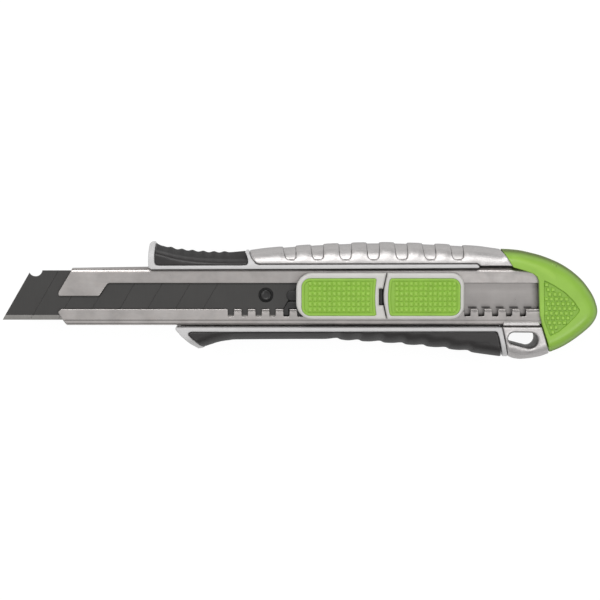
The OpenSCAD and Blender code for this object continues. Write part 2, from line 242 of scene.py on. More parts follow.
def make_object(name, V, F, mats, body, smooth=38, attr=None, face_mat=None, nodes=()):
    me = bpy.data.meshes.new(name)
    me.from_pydata([((x + ROW[0]) * MM, (y + ROW[1]) * MM, z * MM) for x, y, z in V], [], [list(map(int, f)) for f in F])
    me.validate()
    me.update()
    ob = bpy.data.objects.new(name, me)
    bpy.context.scene.collection.objects.link(ob)
    if attr is not None:
        at = me.attributes.new("edge", "FLOAT", "POINT")
        at.data.foreach_set("value", np.asarray(attr, np.float32))
    for m in (mats if isinstance(mats, (list, tuple)) else [mats]):
        me.materials.append(MATS[m])
    if face_mat is not None:
        me.polygons.foreach_set("material_index", np.asarray(face_mat, np.int32))
    bm = bmesh.new()
    bm.from_mesh(me)
    bmesh.ops.remove_doubles(bm, verts=bm.verts, dist=2e-6)
    bmesh.ops.dissolve_degenerate(bm, edges=bm.edges, dist=5e-7)
    bmesh.ops.recalc_face_normals(bm, faces=bm.faces)
    for f in bm.faces:
        f.smooth = True
    bm.to_mesh(me)
    bm.free()
    me.set_sharp_from_angle(angle=math.radians(smooth))
    if isinstance(body, tuple):
        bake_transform(ob)
    else:
        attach(ob, body)
    if nodes:
        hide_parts(*nodes)
    return ob


def solid(V, F, zt, zb, d=None, warp=None):
    """Closes a triangulated region into a solid between a top and a bottom surface."""
    n = len(V)
    T = np.column_stack([V, zt])
    Bm = np.column_stack([V, zb])
    P = np.vstack([T, Bm])
    faces = [tuple(f) for f in F] + [tuple(int(i) + n for i in f[::-1]) for f in F]
    faces += [(b, a, a + n, b + n) for a, b in rim(F)]
    if warp is not None:
        P = warp(P)
    return P, faces


def join(parts):
    V, F, A, M, base = [], [], [], [], 0
    for p in parts:
        v, f = p[0], p[1]
        a = p[2] if len(p) > 2 and p[2] is not None else np.ones(len(v)) * 9
        m = p[3] if len(p) > 3 and p[3] is not None else [0] * len(f)
        V.append(np.asarray(v, float))
        F += [tuple(int(i) + base for i in q) for q in f]
        A.append(a)
        M += list(m)
        base += len(v)
    return np.vstack(V), F, np.concatenate(A), M


def slab(loops, z0, z1, r=0.2, rb=None, grid=3.0, step=0.8, rings=None, dome=None, **kw):
    """A plate with rounded upper and lower edges."""
    rb = r if rb is None else rb
    if rings is None:
        rr = max(r, rb)
        rings = (rr * 0.08, rr * 0.3, rr * 0.6, rr)
    V, F, d = plan(loops, grid, rings, step, **kw)
    zt = z1 - round_over(d, r)
    if dome is not None:
        zt = zt + dome(V, d)
    zb = z0 + round_over(d, rb)
    P, faces = solid(V, F, zt, zb)
    return P, faces, np.concatenate([d, d])


def lathe(profile, cx, cy, n=64):
    """Turns an (r, z) profile that starts and ends on the axis."""
    V, F = [], []
    rings = []
    for r, z in profile:
        if r < 1e-6:
            rings.append([len(V)])
            V.append((cx, cy, z))
        else:
            rings.append(list(range(len(V), len(V) + n)))
            V += [(cx + r * math.cos(2 * math.pi * k / n), cy + r * math.sin(2 * math.pi * k / n), z) for k in range(n)]
    for a, b in zip(rings[:-1], rings[1:]):
        for k in range(n):
            k2 = (k + 1) % n
            if len(a) == 1:
                F.append((a[0], b[k], b[k2]))
            elif len(b) == 1:
                F.append((a[k], b[0], a[k2]))
            else:
                F.append((a[k], b[k], b[k2], a[k2]))
    return np.array(V, float), F


# ------------------------------------------------------------------ materials
def srgb(r, g, b):
    f = lambda c: (c / 255 / 12.92) if c / 255 <= 0.04045 else ((c / 255 + 0.055) / 1.055) ** 2.4
    return (f(r), f(g), f(b), 1.0)


class Mat:
    """A small helper that wires a procedural material."""

    def __init__(self, name):
        self.m = bpy.data.materials.new(name)
        self.m.use_nodes = True
        self.t = self.m.node_tree
        self.b = self.t.nodes["Principled BSDF"]
        self.tc = self.t.nodes.new("ShaderNodeTexCoord")
        MATS[name] = self.m

    def node(self, kind, **kw):
        n = self.t.nodes.new(kind)
        for k, v in kw.items():
            setattr(n, k, v)
        return n

    def link(self, a, b):
        self.t.links.new(a, b)

    def mapped(self, scale=(1, 1, 1), rot=(0, 0, 0)):
        mp = self.node("ShaderNodeMapping")
        mp.inputs["Scale"].default_value = scale
        mp.inputs["Rotation"].default_value = rot
        self.link(self.tc.outputs["Object"], mp.inputs["Vector"])
        return mp.outputs["Vector"]

    def noise(self, scale, detail=4, rough=0.55, vec=None, dist=0.0):
        n = self.node("ShaderNodeTexNoise")
        n.inputs["Scale"].default_value = scale
        n.inputs["Detail"].default_value = detail
        n.inputs["Roughness"].default_value = rough
        n.inputs["Distortion"].default_value = dist
        self.link(vec if vec is not None else self.tc.outputs["Object"], n.inputs["Vector"])
        return n.outputs["Fac"]

    def voronoi(self, scale, vec=None, feature="F1"):
        n = self.node("ShaderNodeTexVoronoi", feature=feature)
        n.inputs["Scale"].default_value = scale
        self.link(vec if vec is not None else self.tc.outputs["Object"], n.inputs["Vector"])
        return n.outputs["Distance"]

    def ramp(self, fac, stops):
        n = self.node("ShaderNodeValToRGB")
        el = n.color_ramp.elements
        while len(el) < len(stops):
            el.new(0.5)
        for e, (p, c) in zip(el, stops):
            e.position = p
            e.color = c if len(c) == 4 else (*c, 1)
        self.link(fac, n.inputs["Fac"])
        return n.outputs["Color"]

    def range(self, fac, a, b, lo, hi):
        n = self.node("ShaderNodeMapRange")
        n.clamp = True
        for k, v in zip(("From Min", "From Max", "To Min", "To Max"), (a, b, lo, hi)):
            n.inputs[k].default_value = v
        self.link(fac, n.inputs["Value"])
        return n.outputs["Result"]

    def math(self, op, a, b):
        n = self.node("ShaderNodeMath", operation=op)
        for i, v in enumerate((a, b)):
            if isinstance(v, (int, float)):
                n.inputs[i].default_value = v
            else:
                self.link(v, n.inputs[i])
        return n.outputs[0]

    def mix(self, fac, a, b, blend="MIX"):
        n = self.node("ShaderNodeMix", data_type="RGBA", blend_type=blend)
        for sock, v in ((n.inputs[0], fac), (n.inputs[6], a), (n.inputs[7], b)):
            if isinstance(v, (int, float)):
                sock.default_value = v
            elif isinstance(v, tuple):
                sock.default_value = v
            else:
                self.link(v, sock)
        return n.outputs[2]

    def attr(self, name="edge"):
        n = self.node("ShaderNodeAttribute", attribute_name=name)
        return n.outputs["Fac"]

    def bump(self, height, strength=0.3, distance=0.0002, prev=None):
        n = self.node("ShaderNodeBump")
        n.inputs["Strength"].default_value = strength
        n.inputs["Distance"].default_value = distance
        self.link(height, n.inputs["Height"])
        if prev is not None:
            self.link(prev, n.inputs["Normal"])
        return n.outputs["Normal"]

    def out(self, color=None, rough=None, normal=None, **values):
        if color is not None:
            if isinstance(color, tuple):
                self.b.inputs["Base Color"].default_value = color
            else:
                self.link(color, self.b.inputs["Base Color"])
        if rough is not None:
            if isinstance(rough, (int, float)):
                self.b.inputs["Roughness"].default_value = rough
            else:
                self.link(rough, self.b.inputs["Roughness"])
        if normal is not None:
            self.link(normal, self.b.inputs["Normal"])
        for k, v in values.items():
            self.b.inputs[k.replace("_", " ")].default_value = v
        return self.m


def lighter(c, k):
    return tuple(min(1.0, v * k) for v in c[:3]) + (1.0,)


def mat_cast():
    m = Mat("cast_metal")
    base = srgb(208, 205, 204)
    cloud = m.noise(260, 5, 0.6)
    sand = m.noise(2500, 3, 0.6)
    grain = m.noise(5200, 2, 0.6)
    pits = m.voronoi(1500)
    c = m.ramp(cloud, [(0.30, lighter(base, 0.88)), (0.55, base), (0.75, lighter(base, 1.08))])
    c = m.mix(m.range(sand, 0.38, 0.66, 0.0, 0.34), c, lighter(base, 0.6))
    # painted highlight: lighter within 0.35 mm of an edge. Painted shade: much darker where the edge value is negative,
    # at the silhouette rims, the scallop grooves and the eye's rim.
    c = m.mix(m.range(m.attr(), 0.0, 0.35, 0.4, 0.0), c, lighter(base, 1.15))
    c = m.mix(m.range(m.attr(), -0.6, 0.0, 0.8, 0.0), c, lighter(base, 0.22))
    r = m.math("ADD", m.range(cloud, 0.3, 0.7, 0.42, 0.5), m.range(sand, 0.3, 0.7, -0.03, 0.07))
    n = m.bump(sand, 0.4, 0.00013)
    n = m.bump(grain, 0.25, 0.00005, n)
    n = m.bump(m.range(pits, 0.0, 0.18, 0.0, 1.0), 0.12, 0.00004, n)
    m.out(c, r, n, Metallic=1.0)
    # darker copy of the cast metal for the eye's bore walls: painted shade
    m = Mat("cast_bore_painted_shade")
    base = srgb(84, 82, 80)
    sand = m.noise(2300, 3, 0.6)
    cloud = m.noise(300, 4)
    c = m.ramp(sand, [(0.35, lighter(base, 0.7)), (0.65, lighter(base, 1.25))])
    n = m.bump(sand, 0.45, 0.00014)
    m.out(c, m.range(cloud, 0.3, 0.7, 0.5, 0.62), n, Metallic=0.8)


def mat_light(name="light_plastic", base=srgb(198, 196, 192)):
    m = Mat(name)
    cloud = m.noise(180, 4)
    grain = m.noise(9000, 2)
    c = m.ramp(cloud, [(0.3, lighter(base, 0.96)), (0.7, lighter(base, 1.03))])
    # painted shade: darker within 0.3 mm of an edge
    c = m.mix(m.range(m.attr(), 0.0, 0.3, 0.35, 0.0), c, lighter(base, 0.86))
    r = m.range(cloud, 0.3, 0.7, 0.36, 0.46)
    n = m.bump(grain, 0.12, 0.00003)
    n = m.bump(cloud, 0.05, 0.0002, n)
    m.out(c, r, n)
    m.b.inputs["Specular IOR Level"].default_value = 0.45


def mat_rubber():
    m = Mat("black_rubber")
    base = srgb(42, 40, 40)
    cloud = m.noise(150, 5)
    grain = m.noise(7000, 3, 0.65)
    c = m.ramp(cloud, [(0.3, lighter(base, 0.85)), (0.7, lighter(base, 1.12))])
    # painted highlight: lighter near edges and along the thumb pad's sheen streak
    c = m.mix(m.range(m.attr(), 0.0, 0.5, 0.4, 0.0), c, lighter(base, 1.8))
    # painted shade: darker and rougher on the thumb saddle and towards the finger grip's lower rim
    c = m.mix(m.range(m.attr(), 3.3, 5.0, 0.0, 0.8), c, lighter(base, 0.3))
    r = m.math("ADD", m.range(cloud, 0.3, 0.7, 0.33, 0.4), m.range(grain, 0.3, 0.7, -0.03, 0.06))
    r = m.math("ADD", r, m.range(m.attr(), 3.3, 5.0, 0.0, 0.32))
    n = m.bump(grain, 0.3, 0.00006)
    n = m.bump(cloud, 0.08, 0.0003, n)
    m.out(c, r, n)
    m.b.inputs["Specular IOR Level"].default_value = 0.4
    m.b.inputs["Sheen Weight"].default_value = 0.04
    m.b.inputs["Sheen Roughness"].default_value = 0.5


def mat_steel(name="channel_steel", base=srgb(170, 166, 164), r0=0.28, r1=0.4, brush=0.2):
    m = Mat(name)
    streak = m.noise(900, 4, 0.6, m.mapped((0.035, 1.0, 1.0)))
    fine = m.noise(5200, 3, 0.6, m.mapped((0.02, 1.0, 1.0)))
    cloud = m.noise(120, 6, 0.65)
    blot = m.noise(420, 5, 0.7)
    pits = m.voronoi(420)
    c = m.ramp(cloud, [(0.25, lighter(base, 0.8)), (0.5, base), (0.78, lighter(base, 1.2))])
    c = m.mix(m.range(blot, 0.45, 0.75, 0.0, 0.35), c, (base[0] * 1.05, base[1] * 0.99, base[2] * 0.95, 1))
    c = m.mix(m.range(fine, 0.35, 0.7, 0.0, 0.18), c, lighter(base, 0.7))
    c = m.mix(m.range(pits, 0.0, 0.045, 0.75, 0.0), c, lighter(base, 0.3))
    # painted highlight: lighter along edges
    c = m.mix(m.range(m.attr(), 0.0, 0.22, 0.45, 0.0), c, lighter(base, 1.2))
    # painted shade: darker where the edge value is negative, very dark along the coined line, the fold line and the
    # teeth's shadow inside
    c = m.mix(m.range(m.attr(), -0.5, 0.0, 0.7, 0.0), c, lighter(base, 0.3))
    c = m.mix(m.range(m.attr(), -1.1, -0.5, 0.85, 0.0), c, lighter(base, 0.1))
    r = m.math("ADD", m.range(cloud, 0.3, 0.7, r0, r1), m.range(streak, 0.3, 0.7, -0.04, 0.06))
    n = m.bump(fine, brush, 0.00003)
    n = m.bump(streak, brush * 0.4, 0.00004, n)
    m.out(c, r, n, Metallic=1.0)
    m.b.inputs["Anisotropic"].default_value = 0.35
    return m


def mat_blade():
    m = Mat("blade_oxide")
    base = srgb(62, 61, 60)
    fine = m.noise(6000, 3, 0.6, m.mapped((1.0, 0.03, 1.0), (0, 0, math.radians(-30))))
    cloud = m.noise(90, 5, 0.6)
    c = m.ramp(cloud, [(0.3, lighter(base, 0.93)), (0.7, lighter(base, 1.07))])
    c = m.mix(m.range(fine, 0.35, 0.7, 0.0, 0.22), c, lighter(base, 1.35))
    # painted highlight: lighter within 0.12 mm of the outline
    c = m.mix(m.range(m.attr(), 0.0, 0.12, 0.35, 0.0), c, lighter(base, 1.9))
    r = m.range(cloud, 0.3, 0.7, 0.42, 0.52)
    n = m.bump(fine, 0.12, 0.00003)
    m.out(c, r, n, Metallic=0.35)
    m.b.inputs["Specular IOR Level"].default_value = 0.4


def mat_edge():
    m = Mat("blade_bevel")
    base = srgb(150, 148, 145)
    fine = m.noise(5200, 3, 0.6, m.mapped((1.0, 0.05, 1.0)))
    cloud = m.noise(140, 5, 0.6)
    c = m.ramp(cloud, [(0.3, lighter(base, 0.9)), (0.7, lighter(base, 1.1))])
    c = m.mix(m.range(fine, 0.35, 0.7, 0.0, 0.4), c, lighter(base, 0.62))
    n = m.bump(fine, 0.25, 0.00004)
    m.out(c, m.range(cloud, 0.3, 0.7, 0.3, 0.42), n, Metallic=0.9)


def mat_black():
    m = Mat("black_plastic")
    base = srgb(23, 22, 22)
    cloud = m.noise(200, 4)
    grain = m.noise(6000, 2)
    c = m.ramp(cloud, [(0.3, lighter(base, 0.8)), (0.7, lighter(base, 1.25))])
    # painted highlight: lighter within 0.2 mm of an edge
    c = m.mix(m.range(m.attr(), 0.0, 0.2, 0.3, 0.0), c, lighter(base, 2.2))
    c = m.mix(m.range(m.attr(), 6.0, 7.0, 0.0, 0.8), c, lighter(base, 0.2))
    n = m.bump(grain, 0.15, 0.00004)
    m.out(c, m.math("ADD", m.range(cloud, 0.3, 0.7, 0.34, 0.46), m.range(m.attr(), 6.0, 7.0, 0.0, 0.3)), n)


def mat_green(name, r0, r1, grain_s):
    m = Mat(name)
    base = srgb(140, 183, 69)
    cloud = m.noise(160, 4)
    grain = m.noise(8000, 2)
    c = m.ramp(cloud, [(0.3, lighter(base, 0.94)), (0.7, lighter(base, 1.05))])
    # painted highlight: lighter on bump tops, along the pads' rim and the cap's shoulder streak
    c = m.mix(m.range(m.attr(), 0.1, 0.7, 0.5, 0.0), c, (base[0] * 1.32, base[1] * 1.2, base[2] * 1.5, 1))
    # painted shade: darker between the bumps and along the panel outline, darkest and rougher towards the cap's rim
    c = m.mix(m.range(m.attr(), 0.8, 1.7, 0.0, 0.75), c, (base[0] * 0.66, base[1] * 0.66, base[2] * 0.6, 1))
    c = m.mix(m.range(m.attr(), 1.7, 2.6, 0.0, 0.85), c, (base[0] * 0.34, base[1] * 0.26, base[2] * 0.3, 1))
    r = m.math("ADD", m.range(cloud, 0.3, 0.7, r0, r1), m.range(grain, 0.3, 0.7, -0.03, 0.05))
    r = m.math("ADD", r, m.range(m.attr(), 0.9, 2.0, 0.0, 0.3))
    n = m.bump(grain, grain_s, 0.00004)
    n = m.bump(cloud, 0.05, 0.0003, n)
    m.out(c, r, n)
    m.b.inputs["Specular IOR Level"].default_value = 0.4
    m.b.inputs["Subsurface Weight"].default_value = 0.0


mat_cast()
mat_light()
mat_light("frame_plastic", srgb(196, 195, 195))
mat_rubber()
mat_steel()
mat_steel("screw_steel", srgb(190, 190, 192), 0.18, 0.28, 0.08)
mat_steel("spring_steel", srgb(150, 150, 150), 0.2, 0.32, 0.12)
mat_blade()
mat_edge()
mat_black()
mat_green("green_plastic", 0.3, 0.38, 0.1)
mat_green("green_grip", 0.42, 0.54, 0.2)

# ------------------------------------------------------------------ outlines of the handle
RIDGE_TOP = [(-18.7, 18.4), (-13, 19.2), (-6.5, 19.8), (3.4, 20.5), (13.3, 21.0), (21.7, 21.3), (30.8, 21.4), (40, 21.2), (51, 20.8), (60.1, 20.3), (65.6, 19.9), (72.7, 18.9)]
PAD_TOP = [(-53, 20.9), (-49.4, 19.9), (-45, 18.9), (-39.1, 18.2), (-33.6, 17.8), (-28.1, 17.7), (-24.8, 17.9), (-20.4, 18.3)]
GRIP_LOW = [(-35.2, -17), (-32.5, -16.1), (-29.6, -15.2), (-25.9, -14.6), (-20.4, -14.3), (10.7, -14.2), (18, -14.7), (26.1, -15.1), (34.5, -15.7), (41.8, -16.4), (49.9, -17.2), (58.3, -18.3), (65.6, -19.4), (73.7, -20.5)]
CAP_OUT = [(72.9, 19), (76.6, 18.8), (80.2, 18.4), (83.8, 17.6), (87.5, 16.6), (91.2, 15.2), (94.8, 13.5), (98.5, 11.1), (102.2, 7.9), (104.8, 4.7), (106.7, 1.6), (107.8, -1.3), (108.2, -3.4), (108, -5.3), (107.1, -7.3), (105.5, -9.4), (102.2, -12.3), (98.5, -15), (94.8, -17.2), (90.65, -19.0)]
CAP_FRONT = [(90.6, -19.2), (87.6, -9.1), (86.7, -5.3), (86.5, 0), (86.3, 6.9), (85.6, 8.7), (84.1, 9.9), (81.3, 10.8), (76.8, 12.2), (72.9, 19)]
DROP = 0.75        # the rails' outer outlines lie this much below the first set-out lines
RIDGE_TOP = [(x, y - DROP) for x, y in RIDGE_TOP]
PAD_TOP = [(x, y - 0.55) for x, y in PAD_TOP]
GRIP_LOW = [(x, y - 0.6) for x, y in GRIP_LOW]
CAP_OUT = [(x + 0.4 * min(1, max(0, (x - 78) / 20)), y - 0.7) for x, y in CAP_OUT]
CAP_FRONT = [(91.3, -19.7), (87.8, -9.1), (86.85, -5.3), (86.6, 0), (86.4, 6.9), (85.7, 8.6), (84.2, 9.7), (81.3, 10.7), (77.1, 12.0), (73.3, 18.25)]
CAP_OUT[0] = (73.3, 18.25)
CAP_OUT[-1] = (91.3, -19.5)
ROLL = 7.2         # how far the rails' rounding reaches in from their outline


def roll(d, reach=ROLL, half=ZM, n=2.3):
    """Half thickness of a rounded rail at distance d in from its outline."""
    t = np.clip((reach - d) / reach, 0, 1)
    return half * np.power(np.maximum(1 - t ** n, 0), 1 / n)


ROLL_RINGS = (0.02, 0.08, 0.2, 0.4, 0.7, 1.1, 1.6)


def between(pts, x):
    p = arr(pts)
    return np.interp(x, p[:, 0], p[:, 1])


# spine with its scallops
SC_TOP = [-4.0, 6.2, 16.4, 26.5, 36.6, 46.7, 56.9]
SC_BOT = [-3.2, 6.6, 16.5, 26.6, 37.0, 47.3, 57.2]


def scallop_in(x, y):
    """Distance inside the nearest scallop, in millimetres; negative outside."""
    best = np.full(np.shape(x), -9.0)
    for a, b in zip(SC_BOT, SC_TOP):
        k = np.clip((y - 14.6) / 5.0, 0, 1.3)
        cx = a + (b - a) * k
        w = 2.35 * np.sqrt(np.clip(1 - np.exp(-(np.maximum(y - 14.55, 0)) / 0.75), 0, 1)) + 0.15 * np.clip((y - 17) / 4, 0, 1)
        e = np.where(y > 14.55, w - np.abs(x - cx), -1.0)
        best = np.maximum(best, np.minimum(e, (y - 14.55) * 1.0))
    return best


def build_ridge():
    xs = np.arange(-18.15, 72.8, 0.2)
    yt = curve(RIDGE_TOP, 10)
    top = np.interp(xs, yt[:, 0], yt[:, 1])
    e = scallop_in(xs, np.full_like(xs, 18.9))
    top = top - 0.42 * sstep(-0.15, 0.35, e) + 0.06 * sstep(-0.3, -1.2, e)
    upper = np.stack([xs, top], 1)[::-1]
    left = [(-18.15, 17.0), (-17.9, 16.3), (-17.3, 15.2), (-16.3, 14.1), (-15.5, 13.5), (-14.6, 13.3)]
    loop = np.vstack([[(76.9, 12.5), (74.9, 15.5)], upper, curve(left, 5), [(64.0, 13.45), (64.95, 12.85), (65.2, 12.5)]])
    yy = np.arange(13.4, 20.8, 0.17)
    gx, gy = np.meshgrid(np.arange(-7.5, 60.5, 0.14), yy)
    gx = gx.ravel(); gy = gy.ravel()
    near = (np.abs(scallop_in(gx, gy) - 0.1) < 0.42) & (gy > 14)
    extra = [np.stack([gx[near], gy[near]], 1)]
    V, F, d = plan([loop], 0.55, (0.06, 0.18, 0.4), 0.22, extra=extra)
    A, B = segs(np.vstack([upper, [(-18.15, 17.3)]]), False)
    ds = seg_dist(V, A, B)
    # outline distance with the scallops smoothed away
    h = roll(ds, np.clip(7.6 * (np.interp(V[:, 0], yt[:, 0], yt[:, 1]) - 12.9) / 7.3, 4.6, 7.6))
    e = scallop_in(V[:, 0], V[:, 1])
    cut = 0.45 * sstep(-0.02, 0.22, e) + 0.22 * np.exp(-((e - 0.16) / 0.12) ** 2)
    groove = np.exp(-((e - 0.14) / 0.13) ** 2)
    other = d.copy()
    edge = np.where(ds < d + 0.02, 0.0, round_over(other, 0.45))
    h = np.maximum(h - cut - edge, 0.02)
    P, faces = solid(V, F, ZM + h - 0.2, np.maximum(ZM - h, 0.0))
    # painted highlight: lighter along the inner edges; painted shade: a dark line along the scallops' groove and a
    # darker band towards the silhouette
    edge_light_shade = np.minimum(np.where(ds < d + 0.02, 3, d) * 1.0, 3)
    edge_light_shade = np.where(groove > 0.3, -0.8 * groove, edge_light_shade)
    rim_shade = -0.36 * np.clip(1 - ds / 2.6, 0, 1) ** 0.8 - 0.14 * np.clip(1 - ds / 0.4, 0, 1)
    edge_light_shade = np.where(ds < 2.6, np.minimum(edge_light_shade, rim_shade), edge_light_shade)
    return make_object("cast_spine", P, faces, "cast_metal", "housing", attr=np.concatenate([edge_light_shade, edge_light_shade]), nodes=["cast_body"])


def build_lug():
    out = fillet([(73.5, -9.75, 0.3), (75.95, -20.9, 0.6), (77.9, -21.7, 2), (80.5, -22.05, 4), (84.2, -21.7, 4), (87.9, -20.95, 3), (90.75, -19.9, 0.5), (87.65, -9.75, 0.3)], 0.3)
    hole = []
    for k in range(25):
        a = math.radians(-100 + 190 * k / 24)
        hole.append((83.4 + 2.9 * math.cos(a), -14.65 + 2.9 * math.sin(a)))
    for k in range(21):
        a = math.radians(90 + 168 * k / 20)
        hole.append((77.7 + 2.2 * math.cos(a), -13.9 + 2.2 * math.sin(a)))
    V, F, d = plan([out, hole], 0.8, (0.05, 0.15, 0.35, 0.7, 1.1), 0.3)
    A, B = segs(curve([(75.95, -21.1), (77.9, -21.8), (80.5, -22.1), (84.2, -21.75), (87.9, -21.05), (90.8, -20.0)], 6), False)
    ds = seg_dist(V, A, B)
    Ah, Bh = segs(hole)
    dh = seg_dist(V, Ah, Bh)
    Ao, Bo = segs(out)
    do = seg_dist(V, Ao, Bo)
    h = roll(ds, 6.0, ZM - 0.1) - round_over(dh, 0.9) * 0.9
    h = h - np.where(ds < do + 0.05, 0, round_over(do, 0.5))
    h = np.maximum(h, 0.3)
    P, faces = solid(V, F, ZM + h - 0.1, np.maximum(ZM - h, 0.0))
    w = np.where(dh < do, 3.0, d)
    # painted shade: darker towards the lower silhouette
    w = np.where(ds < 3.4, np.minimum(w, -0.42 * np.clip(1 - ds / 3.4, 0, 1) ** 0.8), w)
    # the bore's walls take a darker material: painted shade
    hole_v = np.zeros(len(V), bool)
    hole_v[dh < 0.02] = True
    both = np.concatenate([hole_v, hole_v])
    fm = [1 if (len(f) == 4 and all(both[i] for i in f)) else 0 for f in faces]
    return make_object("lanyard_block", P, faces, ["cast_metal", "cast_bore_painted_shade"], "housing", attr=np.concatenate([w, w]), face_mat=fm)


def build_floor():
    parts = [slab([fillet([(-54, 12.35), (-54, 9.5), (-51.5, 3), (-46, -7.4), (-45, -9.55), (86.35, -9.55), (86.15, 12.35)], 1.0)], 0.0, 2.0, 0.4, 0.5, grid=4),
             slab([fillet([(-44, -9.55), (86.3, -9.55), (86.3, -8.75), (-44, -8.75)], 0.2)], 1.6, 9.75, 0.2, grid=6),
             slab([fillet([(-15.6, 12.2), (75.8, 12.2), (75.8, 12.9), (-15.6, 12.9)], 0.2)], 1.6, 9.75, 0.2, grid=6),
             slab([fillet([(-36, -1.4), (-31.2, -1.4), (-31.2, 4.9), (-36, 4.9)], 0.8)], 1.6, 9.75, 0.2)]
    for x, y in ((-48.3, 7.6), (-41.5, -4.2)):
        parts.append((*lathe([(0, 1.2), (2.9, 1.2), (2.9, 9.5), (2.7, 9.75), (0, 9.75)], x, y, 40), None))
    # lip that closes the channel's lower edge beside the eye
    parts.append(slab([fillet([(73.6, -9.3), (87.2, -9.3), (86.8, -8.05), (74.0, -8.05)], 0.35)], 13.7, 14.75, 0.3, grid=2))
    V, F, A, M = join(parts)
    return make_object("cast_floor", V, F, "cast_metal", "housing", attr=A)


build_ridge()
build_lug()
build_floor()


# light frame of the thumb rest, with its strip along the channel
def build_upper_trim():
    pad_hole = thumb_outline(0.12)
    loop = fillet([(-53.7, 21.05, 0.8), (-54.55, 20.4, 0.8), (-54.85, 16.3), (-54.85, 12.6), (-54.6, 11.7, 0.8), (-53.6, 11.25, 0.6), (0, 11.4), (64.3, 11.72, 0.15), (64.85, 12.05, 0.15), (64.75, 12.45, 0.15), (63.9, 13.1, 0.15),
                   (-14.9, 12.9), (-16.0, 13.35, 1), (-17.55, 15.2, 1), (-18.4, 16.9), (-18.55, 17.75, 0.5), (-19.5, 17.95, 0.4), (-36, 17.0), (-52, 17.0), (-52.5, 20.3, 0.3), (-52.75, 20.95, 0.5)], 0.0)
    loop = outline_minus(loop)
    V, F, d = plan([loop], 0.9, (0.05, 0.15, 0.3, 0.5), 0.4)
    A, B = segs([(-54.5, 21.0), (-52.4, 21.1)], False)
    A2, B2 = segs([(-19.6, 18.1), (-18.3, 18.1)], False)
    ds = seg_dist(V, np.vstack([A, A2]), np.vstack([B, B2]))
    h = roll(ds, 7.2) - round_over(d, 0.45)
    zt = ZM + h
    frame_zone = (V[:, 1] > 12.47) & (V[:, 0] < -15.4)
    zb = np.where(frame_zone, np.maximum(ZM - h, 0.6), 14.15)
    zt = np.maximum(zt, zb + 0.05)
    P, faces = solid(V, F, zt, zb)
    return make_object("thumb_rest_frame", P, faces, "frame_plastic", "housing", attr=np.concatenate([d, d]), nodes=["upper_trim"])


def thumb_outline(grow=0.0):
    xs = np.arange(-52.3, -19.35, 0.2)
    c = curve(PAD_TOP, 8)
    top = np.interp(xs, c[:, 0], c[:, 1])
    return xs, top


def outline_minus(loop):
    """The trim's outline with the thumb pad's opening cut out of its upper side."""
    loop = [tuple(p) for p in loop]
    a = next(i for i, p in enumerate(loop) if abs(p[0] + 36) < 1e-6)
    b = next(i for i, p in enumerate(loop) if abs(p[0] + 52) < 1e-6)
    mid = [(-19.85, 17.3), (-19.4, 16.5), (-18.85, 15.0), (-18.75, 13.6), (-19.3, 12.85), (-21, 12.68), (-36, 12.68), (-50.9, 12.65), (-52.1, 12.85), (-52.55, 13.7), (-52.6, 16.2), (-52.5, 19.4)]
    return np.array(loop[:a] + mid + loop[b + 1:])


RIBS = [-50.6, -46.9, -43.0, -39.2, -35.3, -31.4, -27.6]


def build_thumb_grip():
    xs, top = thumb_outline()
    wave = np.zeros_like(xs)
    for x0 in RIBS:
        wave += np.exp(-((xs - x0) / 1.15) ** 2)
    top = top - 0.3 + 0.5 * np.clip(wave, 0, 1) * sstep(-50.5, -48.5, xs) + 0.55 * np.exp(-(xs + 52.3) / 0.9)
    upper = np.stack([xs, top], 1)[::-1]
    loop = np.vstack([[(-19.6, 16.6), (-19.5, 17.0)], upper, curve([(-52.42, 18.6), (-52.5, 16.2), (-52.42, 13.8), (-51.8, 12.95), (-50.9, 12.78)], 5), [(-36, 12.8), (-21, 12.8)],
                      curve([(-19.4, 12.95), (-18.9, 13.6), (-19.0, 15.0), (-19.5, 16.4)], 5)])
    V, F, d = plan([loop], 0.36, (0.03, 0.1, 0.22, 0.4, 0.65, 1.0), 0.25)
    A, B = segs(upper, False)
    ds = seg_dist(V, A, B)
    x, y = V[:, 0], V[:, 1]
    ybase = np.interp(x, xs, top)
    # a narrow flat beside the frame, a soft crease, and the saddle for the thumb falling away above it
    crease = np.interp(x, [-52.5, -50, -46, -42, -38, -34, -30, -26, -20], [17.5, 16.9, 15.75, 14.95, 14.45, 14.15, 13.95, 13.8, 13.7])
    run = np.maximum(ybase - crease, 0.6)
    k = (y - crease) / run
    soft = 0.16
    fall = soft * np.log1p(np.exp(np.clip(k / soft, -30, 30)))
    h = ZM - 0.2 - 6.4 * fall
    h = h - 0.55 * np.clip(k, 0, 1) ** 3
    wave = np.zeros_like(x)
    for x0 in RIBS:
        wave += np.exp(-((x - x0) / 1.1) ** 2)
    rib = sstep(-51, -49.4, x) * (1 - sstep(-26.2, -25.4, x))
    fade = np.clip(1 - (ybase - y) / 1.3, 0, 1)
    h = h - 0.75 * (1 - np.clip(wave, 0, 1)) * fade * rib
    h = np.minimum(h, roll(ds, 1.6, ZM - 0.15, 2.2) + 0.6)
    h = h - np.where(ds < d + 0.02, 0, round_over(d, 0.35))
    h = np.maximum(h, 0.05)
    P, faces = solid(V, F, ZM + h - 0.05, ZM - h + 0.05)
    w = np.where(ds < d + 0.02, 3, d) + 0.2
    # painted shade: darker on the saddle above the crease; painted highlight: a sheen streak just above the crease
    w = np.where((w > 0.5) & (k > 0.05), np.maximum(w, 3.3 + 1.6 * sstep(0.12, 0.45, k)), w)
    streak = np.exp(-((k - 0.1) / 0.1) ** 2) * sstep(-51.5, -49, x)
    w = np.where((w > 0.5) & (streak > 0.1), w - 3.1 * streak, w)
    return make_object("thumb_rest_pad", P, faces, "black_rubber", "housing", attr=np.concatenate([w, w]), nodes=["thumb_grip"])


def low_curve(x):
    c = curve(GRIP_LOW, 8)
    return np.interp(x, c[:, 0], c[:, 1])


